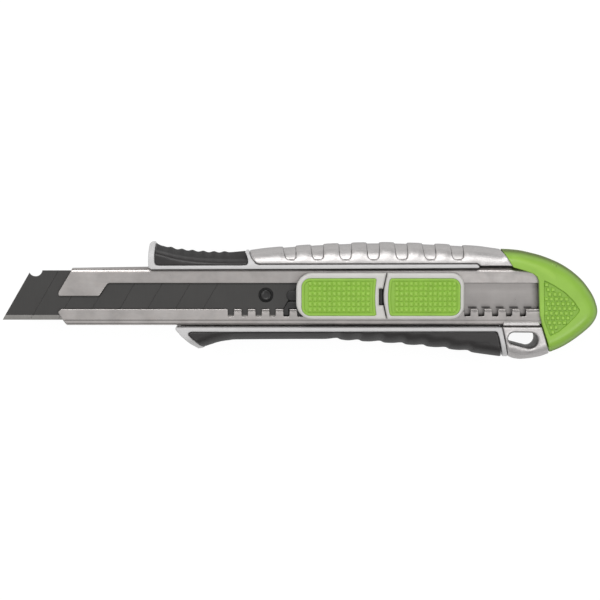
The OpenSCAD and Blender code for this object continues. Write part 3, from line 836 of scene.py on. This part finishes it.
def build_lower_trim():
    inner = [(-35.3, -17.2), (-36.6, -16.4), (-40.45, -12.8), (-40.5, -12.0), (-39.9, -11.55), (-39.0, -11.42), (0, -11.35), (70.9, -11.25), (71.6, -11.6), (72.2, -13.3), (74.0, -20.95)]
    loop = [(-45.2, -9.9, 0.3), (-45.05, -10.7, 0.4), (-43.2, -12.9, 1), (-38.4, -17.45, 1), (-37.0, -18.15, 0.6), (-35.7, -17.95, 0.5), (-34.7, -17.45, 0.2)] + [p if len(p) > 2 else (*p, 0.0) for p in inner] + [(75.65, -21.0, 0.3), (73.15, -9.9, 0.3)]
    loop = fillet(loop, 0.0)
    V, F, d = plan([loop], 1.2, (0.05, 0.15, 0.3, 0.5), 0.5)
    A, B = segs([(-38.8, -17.4), (-37.1, -18.25), (-35.7, -18.1), (-34.7, -17.6)], False)
    A2, B2 = segs([(74.0, -21.1), (75.7, -21.2)], False)
    ds = seg_dist(V, np.vstack([A, A2]), np.vstack([B, B2]))
    h = roll(ds, 7.2) - round_over(d, 0.45)
    zb = np.maximum(ZM - h, 0.6)
    P, faces = solid(V, F, np.maximum(ZM + h, zb + 0.1), zb)
    return make_object("finger_grip_frame", P, faces, "frame_plastic", "housing", attr=np.concatenate([d, d]), nodes=["lower_trim"])


NOTCH = [13.5, 21.2, 29.2, 37.2, 45.0, 53.2, 61.3]


def nick(x):
    """Small nicks across the finger grip: a slow run in and a short run out."""
    w = np.zeros_like(x)
    for x0 in NOTCH:
        k = np.where(x < x0, (x - x0) / 2.6, (x - x0) / 1.0)
        w = np.maximum(w, np.exp(-k * k))
    return w


def build_finger_grip():
    xs = np.arange(-35.2, 73.4, 0.25)
    low = low_curve(xs) - 0.1 * sstep(9, 14, xs) + 0.5 * nick(xs)
    low = np.maximum(low, -21.05)
    lower = np.stack([xs, low], 1)
    loop = np.vstack([[(-38.9, -11.55), (-39.8, -11.67), (-40.36, -12.15), (-40.3, -12.75), (-36.55, -16.2)], lower[2:], [(72.05, -13.3), (71.5, -11.8), (70.7, -11.4), (0, -11.5)]])
    V, F, d = plan([loop], 0.6, (0.03, 0.1, 0.22, 0.4, 0.7, 1.1, 1.6), 0.4)
    A, B = segs(lower, False)
    ds = seg_dist(V, A, B)
    x, y = V[:, 0], V[:, 1]
    h = roll(ds, 5.2, ZM - 0.15, 2.1)
    lo = np.interp(x, xs, low)
    fade = np.clip(1 - (y - lo) / 4.2, 0, 1)
    h = h - 0.55 * nick(x) * fade
    k = np.clip((y - lo) / np.maximum(-11.5 - lo, 0.1), 0, 1)
    h = h - 0.35 * np.sin(np.pi * k) * sstep(-40, -20, x)
    h = h - np.where(ds < d + 0.02, 0, round_over(d, 0.4))
    h = np.maximum(h, 0.05)
    P, faces = solid(V, F, ZM + h - 0.05, ZM - h + 0.05)
    w = np.where(ds < d + 0.02, 3, d) + 0.2
    # painted shade: darker towards the lower silhouette
    w = np.where((w > 0.5) & (ds < 3.0), 3.3 + 1.5 * np.clip(1 - ds / 3.0, 0, 1), w)
    return make_object("finger_grip_pad", P, faces, "black_rubber", "housing", attr=np.concatenate([w, w]), nodes=["finger_grip"])


build_upper_trim()
build_thumb_grip()
build_lower_trim()
build_finger_grip()

# ------------------------------------------------------------------ blade channel: one strip of sheet, folded
CH_Y0, CH_Y1, CH_Z0, CH_Z1, CH_T = -9.2, 12.0, 9.8, 14.0, 0.8
R_TOP, R_BOT = 2.1, 0.95
RACK_X, PITCH, TEETH, NW, NOTCH_Y = -25.1, 5.05, 22, 2.1, -5.95


def channel_path():
    """Middle line of the sheet in the y-z plane, from the lower flange's free edge round the back to the upper flange's."""
    t = CH_T / 2
    rt, rb = R_TOP - t, R_BOT - t
    pts = []
    zt, zb = CH_Z1 - t, CH_Z0 + t
    yl, yh = CH_Y0 + t, CH_Y1 - t
    pts.append((3.0, zt))
    for k in range(9):
        a = math.radians(90 + 90 * k / 8)
        pts.append((yl + rb + rb * math.cos(a), zt - rb + rb * math.sin(a)))
    for k in range(9):
        a = math.radians(180 + 90 * k / 8)
        pts.append((yl + rb + rb * math.cos(a), zb + rb + rb * math.sin(a)))
    for k in range(13):
        a = math.radians(270 + 90 * k / 12)
        pts.append((yh - rt + rt * math.cos(a), zb + rt + rt * math.sin(a)))
    for k in range(13):
        a = math.radians(0 + 90 * k / 12)
        pts.append((yh - rt + rt * math.cos(a), zt - rt + rt * math.sin(a)))
    pts.append((-2.0, zt))
    p = [pts[0]]
    for q in pts[1:]:
        if math.hypot(q[0] - p[-1][0], q[1] - p[-1][1]) > 1e-6:
            p.append(q)
    return np.array(p)


PATH = channel_path()
PS = np.concatenate([[0], np.cumsum(np.linalg.norm(np.diff(PATH, axis=0), axis=1))])
STOT = PS[-1]


def s_low(y):
    return 3.0 - y


def s_high(y):
    return STOT - (y + 2.0)


def channel_warp(P):
    s = P[:, 1]
    y = np.interp(s, PS, PATH[:, 0])
    z = np.interp(s, PS, PATH[:, 1])
    e = 0.05
    dy = np.interp(s + e, PS, PATH[:, 0]) - np.interp(s - e, PS, PATH[:, 0])
    dz = np.interp(s + e, PS, PATH[:, 1]) - np.interp(s - e, PS, PATH[:, 1])
    L = np.maximum(np.hypot(dy, dz), 1e-9)
    # outward normal: the sheet runs down, round the back, and up, so outward is to its right
    ny, nz = -dz / L * -1, dy / L * -1
    return np.column_stack([P[:, 0], y + ny * P[:, 2], z + nz * P[:, 2]])


def build_channel():
    low = [(91.0, -3.3)]
    for i in reversed(range(TEETH)):
        x = RACK_X + PITCH * i
        low += [(x + NW / 2, -3.3, 0.4), (x + NW / 2, NOTCH_Y, 0.4), (x - NW / 2, NOTCH_Y, 0.4), (x - NW / 2, -3.3, 0.4)]
    low += [(-86.7, -3.3, 0.6), (-87.95, -4.4, 0.7), (-86.2, -7.3, 0.5), (-85.2, -8.6, 0.5)]
    loop = [(p[0], s_low(p[1]), *(p[2:])) for p in low]
    s_bot = float(PS[1] + (PS[9] - PS[1]))
    loop += [(-84.8, s_bot, 0.4), (-84.0, STOT / 2 - 6), (-83.4, STOT / 2 + 4), (-82.6, s_high(11.0) - 2.5)]
    high = [(-82.9, 10.6, 0.5), (-87.6, 2.9, 0.9), (-87.75, 1.4, 0.8), (-72.9, 1.4, 1.0), (-69.7, 6.1, 1.6), (91.0, 6.1)]
    loop += [(p[0], s_high(p[1]), *(p[2:])) for p in high]
    loop = fillet(loop, 0.0, 5)
    # rows of points along the folds
    rows = []
    xg = np.arange(-87, 90.8, 1.0)
    for s in PS[1:-1]:
        rows.append(np.stack([xg, np.full(len(xg), s)], 1))
    for s in (PS[0] + 2, PS[-1] - 2):
        pass
    xr = np.arange(-87, 90, 0.35)
    for y in (-3.85, -3.95, -4.05, -4.15):
        rows.append(np.stack([xr, np.full(len(xr), s_low(y))], 1))
    for y in (-7.12, -7.24, -7.35, -7.46, -7.58):
        rows.append(np.stack([xg, np.full(len(xg), s_low(y))], 1))
    for y in (-6.6, -7.0, -7.75, -8.1):
        rows.append(np.stack([xg, np.full(len(xg), s_low(y))], 1))
    for y in (9.4, 8.6, 7.4):
        rows.append(np.stack([xg, np.full(len(xg), s_high(y))], 1))
    s0 = PS[18] - PATH[18][0]
    for y in (-6.4, -5.9, -5.4, -4.9, -3.5, -3.25, -3.1, -2.95, -2.8, -2.65, -2.4):
        rows.append(np.stack([xr, np.full(len(xr), s0 + y)], 1))
    V, F, d = plan([loop], 4.0, (0.04, 0.1, 0.18, 0.28), 0.5, extra=rows)
    off = CH_T / 2 - round_over(d, 0.26)
    yy = 3.0 - V[:, 1]
    # coined line behind the edges of the teeth, and the line where the lower fold starts: a shallow dip and a step in
    # the sheet, both also painted as dark lines (painted shade)
    coin = np.exp(-((yy + 4.0) / 0.16) ** 2) * (V[:, 0] > RACK_X + 0.3)
    fold = np.exp(-((yy + 7.35) / 0.13) ** 2)
    step = sstep(-7.2, -7.48, yy) * (V[:, 1] < 12.0)
    P, faces = solid(V, F, off - 0.1 * coin - 0.1 * step, -off, warp=channel_warp)
    P[:, 1] -= 0.42 * np.clip((-54 - P[:, 0]) / 28, 0, 1) * sstep(13.7, 12.6, P[:, 2]) * (P[:, 1] > 9.5)
    d = np.where(coin > 0.25, -1.1 * coin, np.where(fold > 0.2, -1.15 * fold, d))
    nv = len(V)
    # painted shade: the back of the upper roll darker
    back = (P[:nv, 1] > 10.4) & (P[:nv, 2] < 13.1)
    d = np.where(back, -0.8 * sstep(13.1, 12.6, P[:nv, 2]), d)
    # the inside of the sheet, on the far wall: painted shade, darker overall, with a painted shadow of the teeth as a
    # dark band offset from their edges, and dark along the foot of the teeth
    yi = P[nv:, 1]
    ph = np.mod(P[nv:, 0] - RACK_X + 0.55 + NW / 2, PITCH)
    tooth = np.where((ph > NW) & (P[nv:, 0] > RACK_X - 1), 1.0, 0.0)
    line = np.exp(-((yi + 2.95) / 0.3) ** 2) * tooth
    foot = sstep(-4.9, -5.9, yi)
    wall = P[nv:, 2] < 11.0
    di = np.where(wall, np.minimum(-0.27, -1.1 * np.maximum(line, foot) - 0.27 * (1 - np.maximum(line, foot))), d)
    return make_object("blade_channel_sheet", P, faces, "channel_steel", "housing", smooth=30, attr=np.concatenate([d, di]), nodes=["blade_channel"])


build_channel()

# ------------------------------------------------------------------ blade
TIP_X, EDGE_Y, LEAN, BW, BL, BZ, BT = -108.2, -7.3, 0.585, 18.0, 100.0, 12.55, 0.5
HUB = (-12.4, 1.7)


def circle(cx, cy, r, n=48):
    return [(cx + r * math.cos(2 * math.pi * k / n), cy + r * math.sin(2 * math.pi * k / n)) for k in range(n)]


def build_blade():
    up = EDGE_Y + BW
    nx = TIP_X + 12.25
    arc = []
    cy, r = up + 0.4, 2.55
    a0 = math.degrees(math.asin((up - cy) / r))
    for k in range(17):
        a = math.radians(a0 - (180 + 2 * a0) * k / 16)
        arc.append((nx + r * math.cos(a), cy + r * math.sin(a)))
    xe = arc[-1][0]
    front_top = TIP_X + LEAN * BW
    pts = [(TIP_X + 0.05, EDGE_Y), (TIP_X + BL - 0.1, EDGE_Y), (TIP_X + BL - 0.1 + 0.566 * BW, up)] + arc
    # the notch meets the slanted front edge
    pts = [p for p in pts if not (p[0] < TIP_X + LEAN * (p[1] - EDGE_Y) - 0.02)]
    last = pts[-1]
    pts.append((TIP_X + LEAN * (last[1] - EDGE_Y + 0.25), last[1] + 0.25))
    lines = []
    ext = []
    grooves = []
    for i in range(1, 8):
        x0 = TIP_X + 10.1 * i
        a = np.array([x0, EDGE_Y]); b = np.array([x0 + LEAN * BW, up])
        grooves.append((a, b))
        ts = np.linspace(0.004, 0.996, 60)
        for off in (-0.2, -0.11, 0.0, 0.11, 0.2):
            ext.append(np.stack([a[0] + (b[0] - a[0]) * ts + off, a[1] + (b[1] - a[1]) * ts], 1))
    xs = np.arange(TIP_X + 1.2, TIP_X + BL, 0.8)
    ext.append(np.stack([xs, np.full(len(xs), EDGE_Y + 1.7)], 1))
    ext.append(np.stack([xs + 0.4, np.full(len(xs), EDGE_Y + 1.78)], 1))
    V, F, d = plan([pts, circle(TIP_X + BL - 4.2, EDGE_Y + BW / 2, 2.72)], 2.5, (0.06,), 0.6, extra=ext)
    y = V[:, 1] - EDGE_Y
    half = BT / 2 - 0.03 - (BT / 2 - 0.045) * np.clip(1 - y / 1.7, 0, 1)
    half = half + 0.03 * np.clip(d / 0.06, 0, 1) * (y > 0.3)
    top = half.copy()
    for a, b in grooves:
        dist = np.abs((V[:, 0] - (a[0] + LEAN * (V[:, 1] - a[1])))) * math.cos(math.atan(LEAN))
        top = top - 0.11 * np.clip(1 - dist / 0.14, 0, 1) * (y > 0.2)
    zc = BZ + BT / 2
    P, faces = solid(V, F, zc + top, zc - half)
    cen = np.array([P[list(f)].mean(0) for f in faces])
    fm = (cen[:, 1] < EDGE_Y + 1.72).astype(int)
    return make_object("snap_blade", P, faces, ["blade_oxide", "blade_bevel"], "carriage", smooth=12, attr=np.concatenate([d, d]), face_mat=fm, nodes=["blade"])


build_blade()


def build_hub():
    x, y = HUB
    V1, F1 = lathe([(0, 10.9), (1.5, 10.9), (1.5, 12.4), (2.5, 12.4), (2.55, 12.5), (2.5, 12.62), (2.2, 12.66), (2.05, 12.7), (1.98, 12.8), (1.95, 13.2), (1.9, 13.45), (1.78, 13.6), (1.55, 13.7), (1.35, 13.68), (1.2, 13.6), (0.9, 13.56), (0.4, 13.55), (0, 13.55)], x, y, 72)
    return make_object("blade_hub_button", V1, F1, "black_plastic", "carriage", smooth=30, attr=np.where(np.hypot(V1[:, 0] - x, V1[:, 1] - y) > 1.93, 7.0, 0.5), nodes=["blade_hub"])


def build_carriage():
    tail = TIP_X + BL
    parts = []
    body = fillet([(-21, -8.0), (58.4, -8.0), (58.4, 10.9), (-21, 10.9)], 1.0)
    well1 = fillet([(3.0, -2.9), (28.2, -2.9), (28.2, 5.6), (3.0, 5.6)], 0.5)
    well2 = fillet([(32.4, -2.9), (58.0, -2.9), (58.0, 5.6), (32.4, 5.6)], 0.5)
    parts.append(slab([body], 10.75, 11.15, 0.15, grid=6))
    parts.append(slab([body, well1, well2], 11.0, 12.28, 0.15, grid=3))
    # behind the blade: open towards the blade's tail, where the front spring's arm dips in
    edge = lambda y: tail + 0.3 + LEAN * (y - EDGE_Y)
    up = fillet([(edge(-7.9), -7.9), (58.4, -7.9), (58.4, 10.9), (edge(10.9), 10.9), (edge(-0.3), -0.3), (3.0, -0.3), (3.0, 5.6), (28.2, 5.6), (28.2, -2.9), (3.2, -2.9), (3.2, -3.45), (-3.55, -3.45), (-3.55, -6.0), (edge(-6.0), -6.0)], 0.25)
    slot2 = fillet([(32.4, -2.9), (53.9, -2.9), (53.9, -5.95), (57.1, -5.95), (57.1, -2.9), (58.0, -2.9), (58.0, 5.6), (32.4, 5.6)], 0.3)
    parts.append(slab([up, slot2], 12.2, 13.05, 0.12, grid=3))
    # tab over the blade's tail
    tab = [(-3 + 1.85 * math.cos(math.radians(a)), 1.55 + 1.85 * math.sin(math.radians(a))) for a in range(90, 271, 12)] + [(2.9, -0.3), (2.9, 3.4)]
    parts.append(slab([tab], 13.1, 13.9, 0.22, 0.05, grid=1.2, step=0.4))
    parts.append(slab([fillet([(28.75, -1.6), (29.75, -1.6), (29.75, 4.4), (28.75, 4.4)], 0.2)], 12.2, 17.0, 0.2, grid=1.5))
    V, F, A, M = join(parts)
    return make_object("slider_carriage", V, F, "black_plastic", "carriage", smooth=30, attr=A, nodes=["blade_carriage"])


build_hub()
build_carriage()

# ------------------------------------------------------------------ thumb pads
PZ0, PZ1 = 15.15, 18.4


def arcp(cx, cy, r, a0, a1, n=10):
    return [(cx + r * math.cos(math.radians(a0 + (a1 - a0) * k / n)), cy + r * math.sin(math.radians(a0 + (a1 - a0) * k / n))) for k in range(n + 1)]


FRONT_OUT = arcp(4.6, 4.15, 6, 180, 90) + list(map(tuple, curve([(31.2, 10.15), (30.4, 6.5), (30.0, 4.4)], 5))) + [(28.55, 4.4), (28.55, -1.6), (29.85, -1.6)] + list(map(tuple, curve([(30.1, -1.65), (30.4, -3.2), (31.2, -6.75)], 5))) + arcp(4.6, -0.75, 6, 270, 180)
REAR_OUT = arcp(54.6, 5.45, 4.7, 90, 0) + arcp(54.3, -1.75, 5, 0, -90) + list(map(tuple, curve([(31.6, -6.75), (30.8, -3.2), (30.25, 0), (30.25, 3.4), (30.8, 6.5), (31.6, 10.15)], 5)))
FRONT_IN = arcp(3.75, 5.0, 3.2, 180, 90) + [(27.0, 8.2), (27.55, 7.8)] + list(map(tuple, curve([(27.45, 6.9), (27.2, 4.5), (27.05, 1.2), (27.2, -2), (27.45, -4.4)], 5))) + [(27.55, -5.0), (27.0, -5.4)] + arcp(3.75, -2.2, 3.2, 270, 180)
REAR_IN = arcp(54.8, 5.1, 3.1, 90, 0) + arcp(54.7, -2.2, 3.2, 0, -90) + [(33.0, -5.4), (32.45, -5.0)] + list(map(tuple, curve([(32.2, -4.1), (31.9, -1.8), (31.75, 1.3), (31.9, 4.6), (32.2, 7.0)], 5))) + [(32.45, 7.7), (33.0, 8.2)]


def build_pad(side):
    front = side == "front"
    out, inn = (FRONT_OUT, FRONT_IN) if front else (REAR_OUT, REAR_IN)
    V, F, d = plan([out, inn], 0.9, (0.06, 0.18, 0.4, 0.7, 0.95), 0.5)
    Ao, Bo = segs(out)
    Ai, Bi = segs(inn)
    do, di = seg_dist(V, Ao, Bo), seg_dist(V, Ai, Bi)
    zt = PZ1 - round_over(do, 0.95) - round_over(di, 0.25)
    zb = PZ0 + round_over(do, 0.2)
    P, faces = solid(V, F, zt, zb)
    x0, x1 = (4.0, 27.0) if front else (33.2, 57.0)
    base = slab([fillet([(x0, -2.6), (x1, -2.6), (x1, 5.3), (x0, 5.3)], 0.8)], 13.8, 16.5, 0.3, grid=3)
    P, faces, A, M = join([(P, faces, np.concatenate([d, d])), base])
    make_object(side + "_pad_rim", P, faces, "light_plastic", side + "_pad", attr=A, nodes=[side + "_pad_frame"])
    # grip with its field of bumps
    cols = (3.67 + 1.74 * np.arange(13)) if front else (35.1 + 1.73 * np.arange(13))
    rows = np.array([6.18, 4.36, 2.5, 0.6, -1.3, -3.3])
    cols = cols - (0.0 if front else 0.15)
    # points on and around each bump
    ex = []
    o = np.array([-0.84, -0.7, -0.5, -0.25, 0.0, 0.25, 0.5, 0.7, 0.84])
    for cx in cols:
        for cy in rows:
            gx, gy = np.meshgrid(cx + o, cy + o * 1.1)
            ex.append(np.stack([gx.ravel(), gy.ravel()], 1))
    V, F, d = plan([inn], 0.8, (0.08, 0.22, 0.4, 0.85, 0.95, 1.1, 1.25), 0.35, extra=ex)
    x, y = V[:, 0], V[:, 1]
    floor_z, rim_z = 17.95, 18.28
    zt = np.where(d < 0.9, rim_z, floor_z + 0.12)
    zt = rim_z - 0.28 * sstep(0.85, 1.1, d) + 0.06 * sstep(1.1, 1.3, d)
    zt = zt - round_over(d, 0.35)
    bump = np.zeros_like(x)
    for cx in cols:
        for cy in rows:
            m = np.maximum(np.abs(x - cx), np.abs(y - cy) / 1.1)
            bump = np.maximum(bump, np.clip((0.8 - m) / 0.6, 0, 1) ** 0.75)
    zt = zt + 0.52 * bump
    n = len(V)
    P, faces = solid(V, F, zt, np.full(n, 17.2))
    # painted highlight on the bump tops and the grip's rim, painted shade between the bumps and along the field's
    # border
    w = np.where(d < 0.5, d + 0.3, 0.98 - 0.85 * bump)
    w = np.where((d >= 0.5) & (d < 1.35) & (bump < 0.05), 1.0, w)
    make_object(side + "_pad_bumps", P, faces, "green_grip", side + "_pad", smooth=28, attr=np.concatenate([w, w]), nodes=[side + "_pad_grip"])


build_pad("front")
build_pad("rear")


def build_spring(side):
    """Leaf under a thumb pad: its arm ends in the toe that drops into the rack, and its foot stands on the carriage."""
    front = side == "front"
    zl, tl = 13.35, 0.4
    if front:
        arm = [(-5.88, -5.55), (-4.25, -5.55), (-4.25, -3.08), (3.15, -3.08), (3.15, -2.35), (20.3, -2.35), (20.3, 4.95), (3.3, 4.95), (3.3, -0.68), (-4.32, -0.68), (-5.88, -3.28)]
        x0, x1 = 20.0, 27.3
    else:
        arm = [(40.2, -2.35), (54.85, -2.35), (54.85, -5.55), (56.45, -5.55), (56.45, -2.35), (57.25, -2.35), (57.25, 4.95), (40.2, 4.95)]
        x0, x1 = 33.2, 40.5
    top = slab([fillet([(*q, 0.12) for q in arm], 0.12, 3)], zl, zl + tl, 0.09, grid=1.5, step=0.5)
    V, F, d = plan([fillet([(x0, -2.35), (x1, -2.35), (x1, 4.95), (x0, 4.95)], 0.2, 3)], 1.0, (0.05, 0.1), 0.6)
    k = (V[:, 0] - x0) / (x1 - x0) if front else (x1 - V[:, 0]) / (x1 - x0)
    mid = zl + tl / 2 - 2.1 * np.clip(k, 0, 1) ** 1.15
    P, faces = solid(V, F, mid + tl / 2 - round_over(d, 0.09), mid - tl / 2 + round_over(d, 0.09))
    P, faces, A, M = join([top, (P, faces, np.concatenate([d, d]))])
    make_object(side + "_detent_leaf", P, faces, "black_plastic", ("carriage", side + "_pad", 11.3, 13.3), smooth=30, attr=A + 0.15, nodes=[side + "_detent_spring"])


build_spring("front")
build_spring("rear")

# ------------------------------------------------------------------ end cap
PANEL = [(88.9, 7.3, 0.3), (92.8, 5.3), (96.6, 2.75), (99.7, -0.3), (101.8, -3.4, 0.5), (101.6, -4.2, 0.5), (100.0, -6.2), (97.2, -9.0), (94.1, -11.5), (91.3, -12.9, 0.3), (89.1, -7.2, 2)]


def build_cap():
    out = curve(CAP_OUT, 6)
    front = arr(CAP_FRONT)
    loop = np.vstack([out[::-1], front[::-1][1:-1][::1]]) if False else np.vstack([out, fillet([(p[0], p[1], 0.6) for p in CAP_FRONT], 0.0)[1:-1]])
    panel = fillet([(p[0] - 0.65, *p[1:]) for p in PANEL], 0.0)
    cells = []
    for j in range(-3, 8):
        for i in range(-3, 10):
            cells.append((89.15 + 1.81 * i + 0.603 * j, 0.46 - 1.72 * j))
    cells = np.array(cells)
    Ap, Bp = segs(panel)
    ok = inside(cells, [panel])
    cells = cells[ok & (seg_dist(cells, Ap, Bp) > 0.72)]
    o = np.array([-0.72, -0.58, -0.44, 0.0, 0.44, 0.58, 0.72])
    ex = []
    for cx, cy in cells:
        gx, gy = np.meshgrid(cx + o, cy + o)
        ex.append(np.stack([gx.ravel(), gy.ravel()], 1))
    pr = resample(panel, 0.4)
    t = np.roll(pr, -1, 0) - np.roll(pr, 1, 0)
    t /= np.linalg.norm(t, axis=1)[:, None]
    nr = np.stack([-t[:, 1], t[:, 0]], 1)
    for k in (-0.35, -0.15, 0.0, 0.15, 0.3, 0.45, 0.7):
        ex.append(pr + nr * k)
    V, F, d = plan([loop], 0.9, (0.02, 0.08, 0.2, 0.4, 0.7, 1.1, 1.6, 2.2, 2.9, 3.7), 0.5, extra=ex)
    A, B = segs(out, False)
    ds = seg_dist(V, A, B)
    Af, Bf = segs(np.vstack([out[-1:], arr(CAP_FRONT)]), False)
    df = seg_dist(V, Af, Bf)
    half = ZM - 0.1
    h = roll(ds, 5.2, half - 0.35, 2.2) + 0.35 * (1 - np.exp(-ds / 4.0))
    h = h - np.where(df < ds, round_over(df, 0.4), 0)
    As, Bs = segs(curve([(77.2, 15.3), (80.5, 14.4), (84.5, 12.9), (88.5, 10.9), (91.5, 8.6)], 6), False)
    h = h + 0.14 * np.exp(-(seg_dist(V, As, Bs) / 0.7) ** 2)
    h = np.maximum(h, 0.05)
    pin = np.where(inside(V, [panel]), 1.0, -1.0) * seg_dist(V, Ap, Bp)
    top = h - 0.7 * sstep(-0.16, 0.22, pin)
    bump = np.zeros(len(V))
    for cx, cy in cells:
        m = np.maximum(np.abs(V[:, 0] - cx), np.abs(V[:, 1] - cy))
        bump = np.maximum(bump, np.clip((0.72 - m) / 0.26, 0, 1))
    top = top + 0.5 * bump
    P, faces = solid(V, F, ZM + top, np.maximum(ZM - h, 0.3))
    # painted highlight on the panel's cells and along the shoulder streak; painted shade between the cells, along the
    # panel outline and towards the rim
    w = np.where(pin > 0.05, 1.25 - 1.15 * bump, 0.75)
    w = np.where((pin > -0.1) & (pin < 0.3), 1.15, w)
    w = np.where(pin < -0.1, 0.5 + 1.25 * np.clip(1 - ds / 4.2, 0, 1) ** 1.3 + 1.5 * np.clip(1 - ds / 1.5, 0, 1), w)
    w = np.where(pin < -0.1, w - 0.7 * np.exp(-(seg_dist(V, As, Bs) / 0.8) ** 2), w)
    ob = make_object("end_cap_shell", P, faces, "green_plastic", "magazine", smooth=40, attr=np.concatenate([w, w]), nodes=["end_cap"])
    # hollow it for the channel's end and the drawer
    cut = []
    for lp, z0, z1 in ((fillet([(70, -9.7), (91.5, -9.7), (91.5, 12.9), (70, 12.9)], 0.1), -1, 14.15),
                       (fillet([(84, -9.2), (93, -9.2), (93, 12.5), (84, 12.5)], 0.1), 2.2, 14.15),
                       (fillet([(92, -8.8), (100, -8.8), (102.5, -3), (101, 3), (97, 8.5), (92, 12.2)], 1.0), 2.2, 13.6)):
        q = resample(lp, 3.0)
        n = len(q)
        if area(q) < 0:
            q = q[::-1]
        v = [(a, b, z1) for a, b in q] + [(a, b, z0) for a, b in q]
        f = [tuple(range(n)), tuple(range(2 * n - 1, n - 1, -1))] + [((i + 1) % n, i, i + n, (i + 1) % n + n) for i in range(n)]
        me = bpy.data.meshes.new("cutter")
        me.from_pydata([((x + ROW[0]) * MM, (y + ROW[1]) * MM, z * MM) for x, y, z in v], [], f)
        c = bpy.data.objects.new("cutter", me)
        bpy.context.scene.collection.objects.link(c)
        cut.append(c)
    for c in cut:
        md = ob.modifiers.new("hollow", "BOOLEAN")
        md.operation = "DIFFERENCE"
        md.solver = "EXACT"
        md.object = c
    dg = bpy.context.evaluated_depsgraph_get()
    me = bpy.data.meshes.new_from_object(ob.evaluated_get(dg))
    ob.modifiers.clear()
    old = ob.data
    ob.data = me
    bpy.data.meshes.remove(old)
    me.name = "end_cap_shell"
    for c in cut:
        m0 = c.data
        bpy.data.objects.remove(c)
        bpy.data.meshes.remove(m0)
    me.set_sharp_from_angle(angle=math.radians(40))
    P, faces, A = slab([fillet([(86.6, 12.35), (91.8, 12.35), (91.8, -9.55), (86.75, -9.55)], 0.3)], 0.3, 2.2, 0.25, grid=3)
    A = np.full(len(P), 0.75)
    make_object("end_cap_sole", P, faces, "green_plastic", "magazine", attr=A)


build_cap()

# ------------------------------------------------------------------ carried-over CAD pieces
for node, mats in {"channel_screws": "screw_steel", "magazine_catch": "spring_steel",
                   "magazine_tray": "black_plastic", "spare_blades": "blade_oxide", "blade_hold_spring": "spring_steel"}.items():
    o = NODES[node]
    o.data.materials.clear()
    o.data.materials.append(MATS[mats])

# ------------------------------------------------------------------ floor, lights, camera
def build_floor_stage():
    me = bpy.data.meshes.new("floor")
    s = 3.0
    me.from_pydata([(-s, -s, -0.0004), (s, -s, -0.0004), (s, s, -0.0004), (-s, s, -0.0004)], [], [(0, 1, 2, 3)])
    o = bpy.data.objects.new("floor", me)
    bpy.context.scene.collection.objects.link(o)
    m = Mat("floor_white")
    n = m.noise(3, 2)
    m.out(m.ramp(n, [(0.0, (0.10, 0.10, 0.10)), (1.0, (0.12, 0.12, 0.12))]), 0.9, None)
    m.b.inputs["Emission Color"].default_value = (1, 1, 1, 1)
    m.b.inputs["Emission Strength"].default_value = 0.93
    m.b.inputs["Specular IOR Level"].default_value = 0.0
    me.materials.append(MATS["floor_white"])


build_floor_stage()


def light(name, loc, target, size, power, size_y=None, color=(1, 1, 1)):
    d = bpy.data.lights.new(name, "AREA")
    d.energy = power
    d.size = size
    if size_y:
        d.shape = "RECTANGLE"
        d.size_y = size_y
    d.color = color
    o = bpy.data.objects.new(name, d)
    o.location = loc
    o.rotation_euler = (Vector(target) - Vector(loc)).to_track_quat("-Z", "Y").to_euler()
    bpy.context.scene.collection.objects.link(o)
    return o


light("key", (-0.12, 0.60, 0.80), (0, 0, 0), 0.7, 4.6, 0.34)
light("fill_left", (-0.95, 0.1, 0.65), (0, 0, 0), 0.6, 1.2)
light("fill_right", (0.95, -0.1, 0.7), (0, 0, 0), 0.6, 0.65)
light("low_front", (0.42, -0.42, 0.88), (0, 0, 0), 0.16, 1.5)

world = bpy.data.worlds.new("studio")
world.use_nodes = True
wt = world.node_tree
bg = wt.nodes["Background"]
co = wt.nodes.new("ShaderNodeTexCoord")
sep = wt.nodes.new("ShaderNodeSeparateXYZ")
wt.links.new(co.outputs["Generated"], sep.inputs[0])
sky = wt.nodes.new("ShaderNodeValToRGB")
for e, (pos, v) in zip([sky.color_ramp.elements[0], sky.color_ramp.elements[1], sky.color_ramp.elements.new(0.3), sky.color_ramp.elements.new(0.65)],
                       [(0.0, 0.16), (1.0, 0.25), (0.3, 0.32), (0.7, 0.42)]):
    e.position = pos
    e.color = (v, v, v, 1)
wt.links.new(sep.outputs["Z"], sky.inputs["Fac"])
wt.links.new(sky.outputs["Color"], bg.inputs["Color"])
bg.inputs["Strength"].default_value = 1.0
bpy.context.scene.world = world
bpy.context.scene.view_settings.view_transform = "Standard"
bpy.context.scene.view_settings.look = "None"

TILT = 5.0
DIST = 0.70
cam = bpy.data.cameras.new("camera")
cam.sensor_width = 36
cam.lens = 36 * DIST / (600 / 2.757 * MM)
camo = bpy.data.objects.new("camera", cam)
bpy.context.scene.collection.objects.link(camo)
t = math.radians(TILT)
aim = Vector((ROW[0] * MM, ROW[1] * MM, 0.014))
camo.location = aim + Vector((0, math.sin(t), math.cos(t))) * DIST
camo.rotation_euler = (-t, 0, 0)
cam.dof.use_dof = False
bpy.context.scene.camera = camo
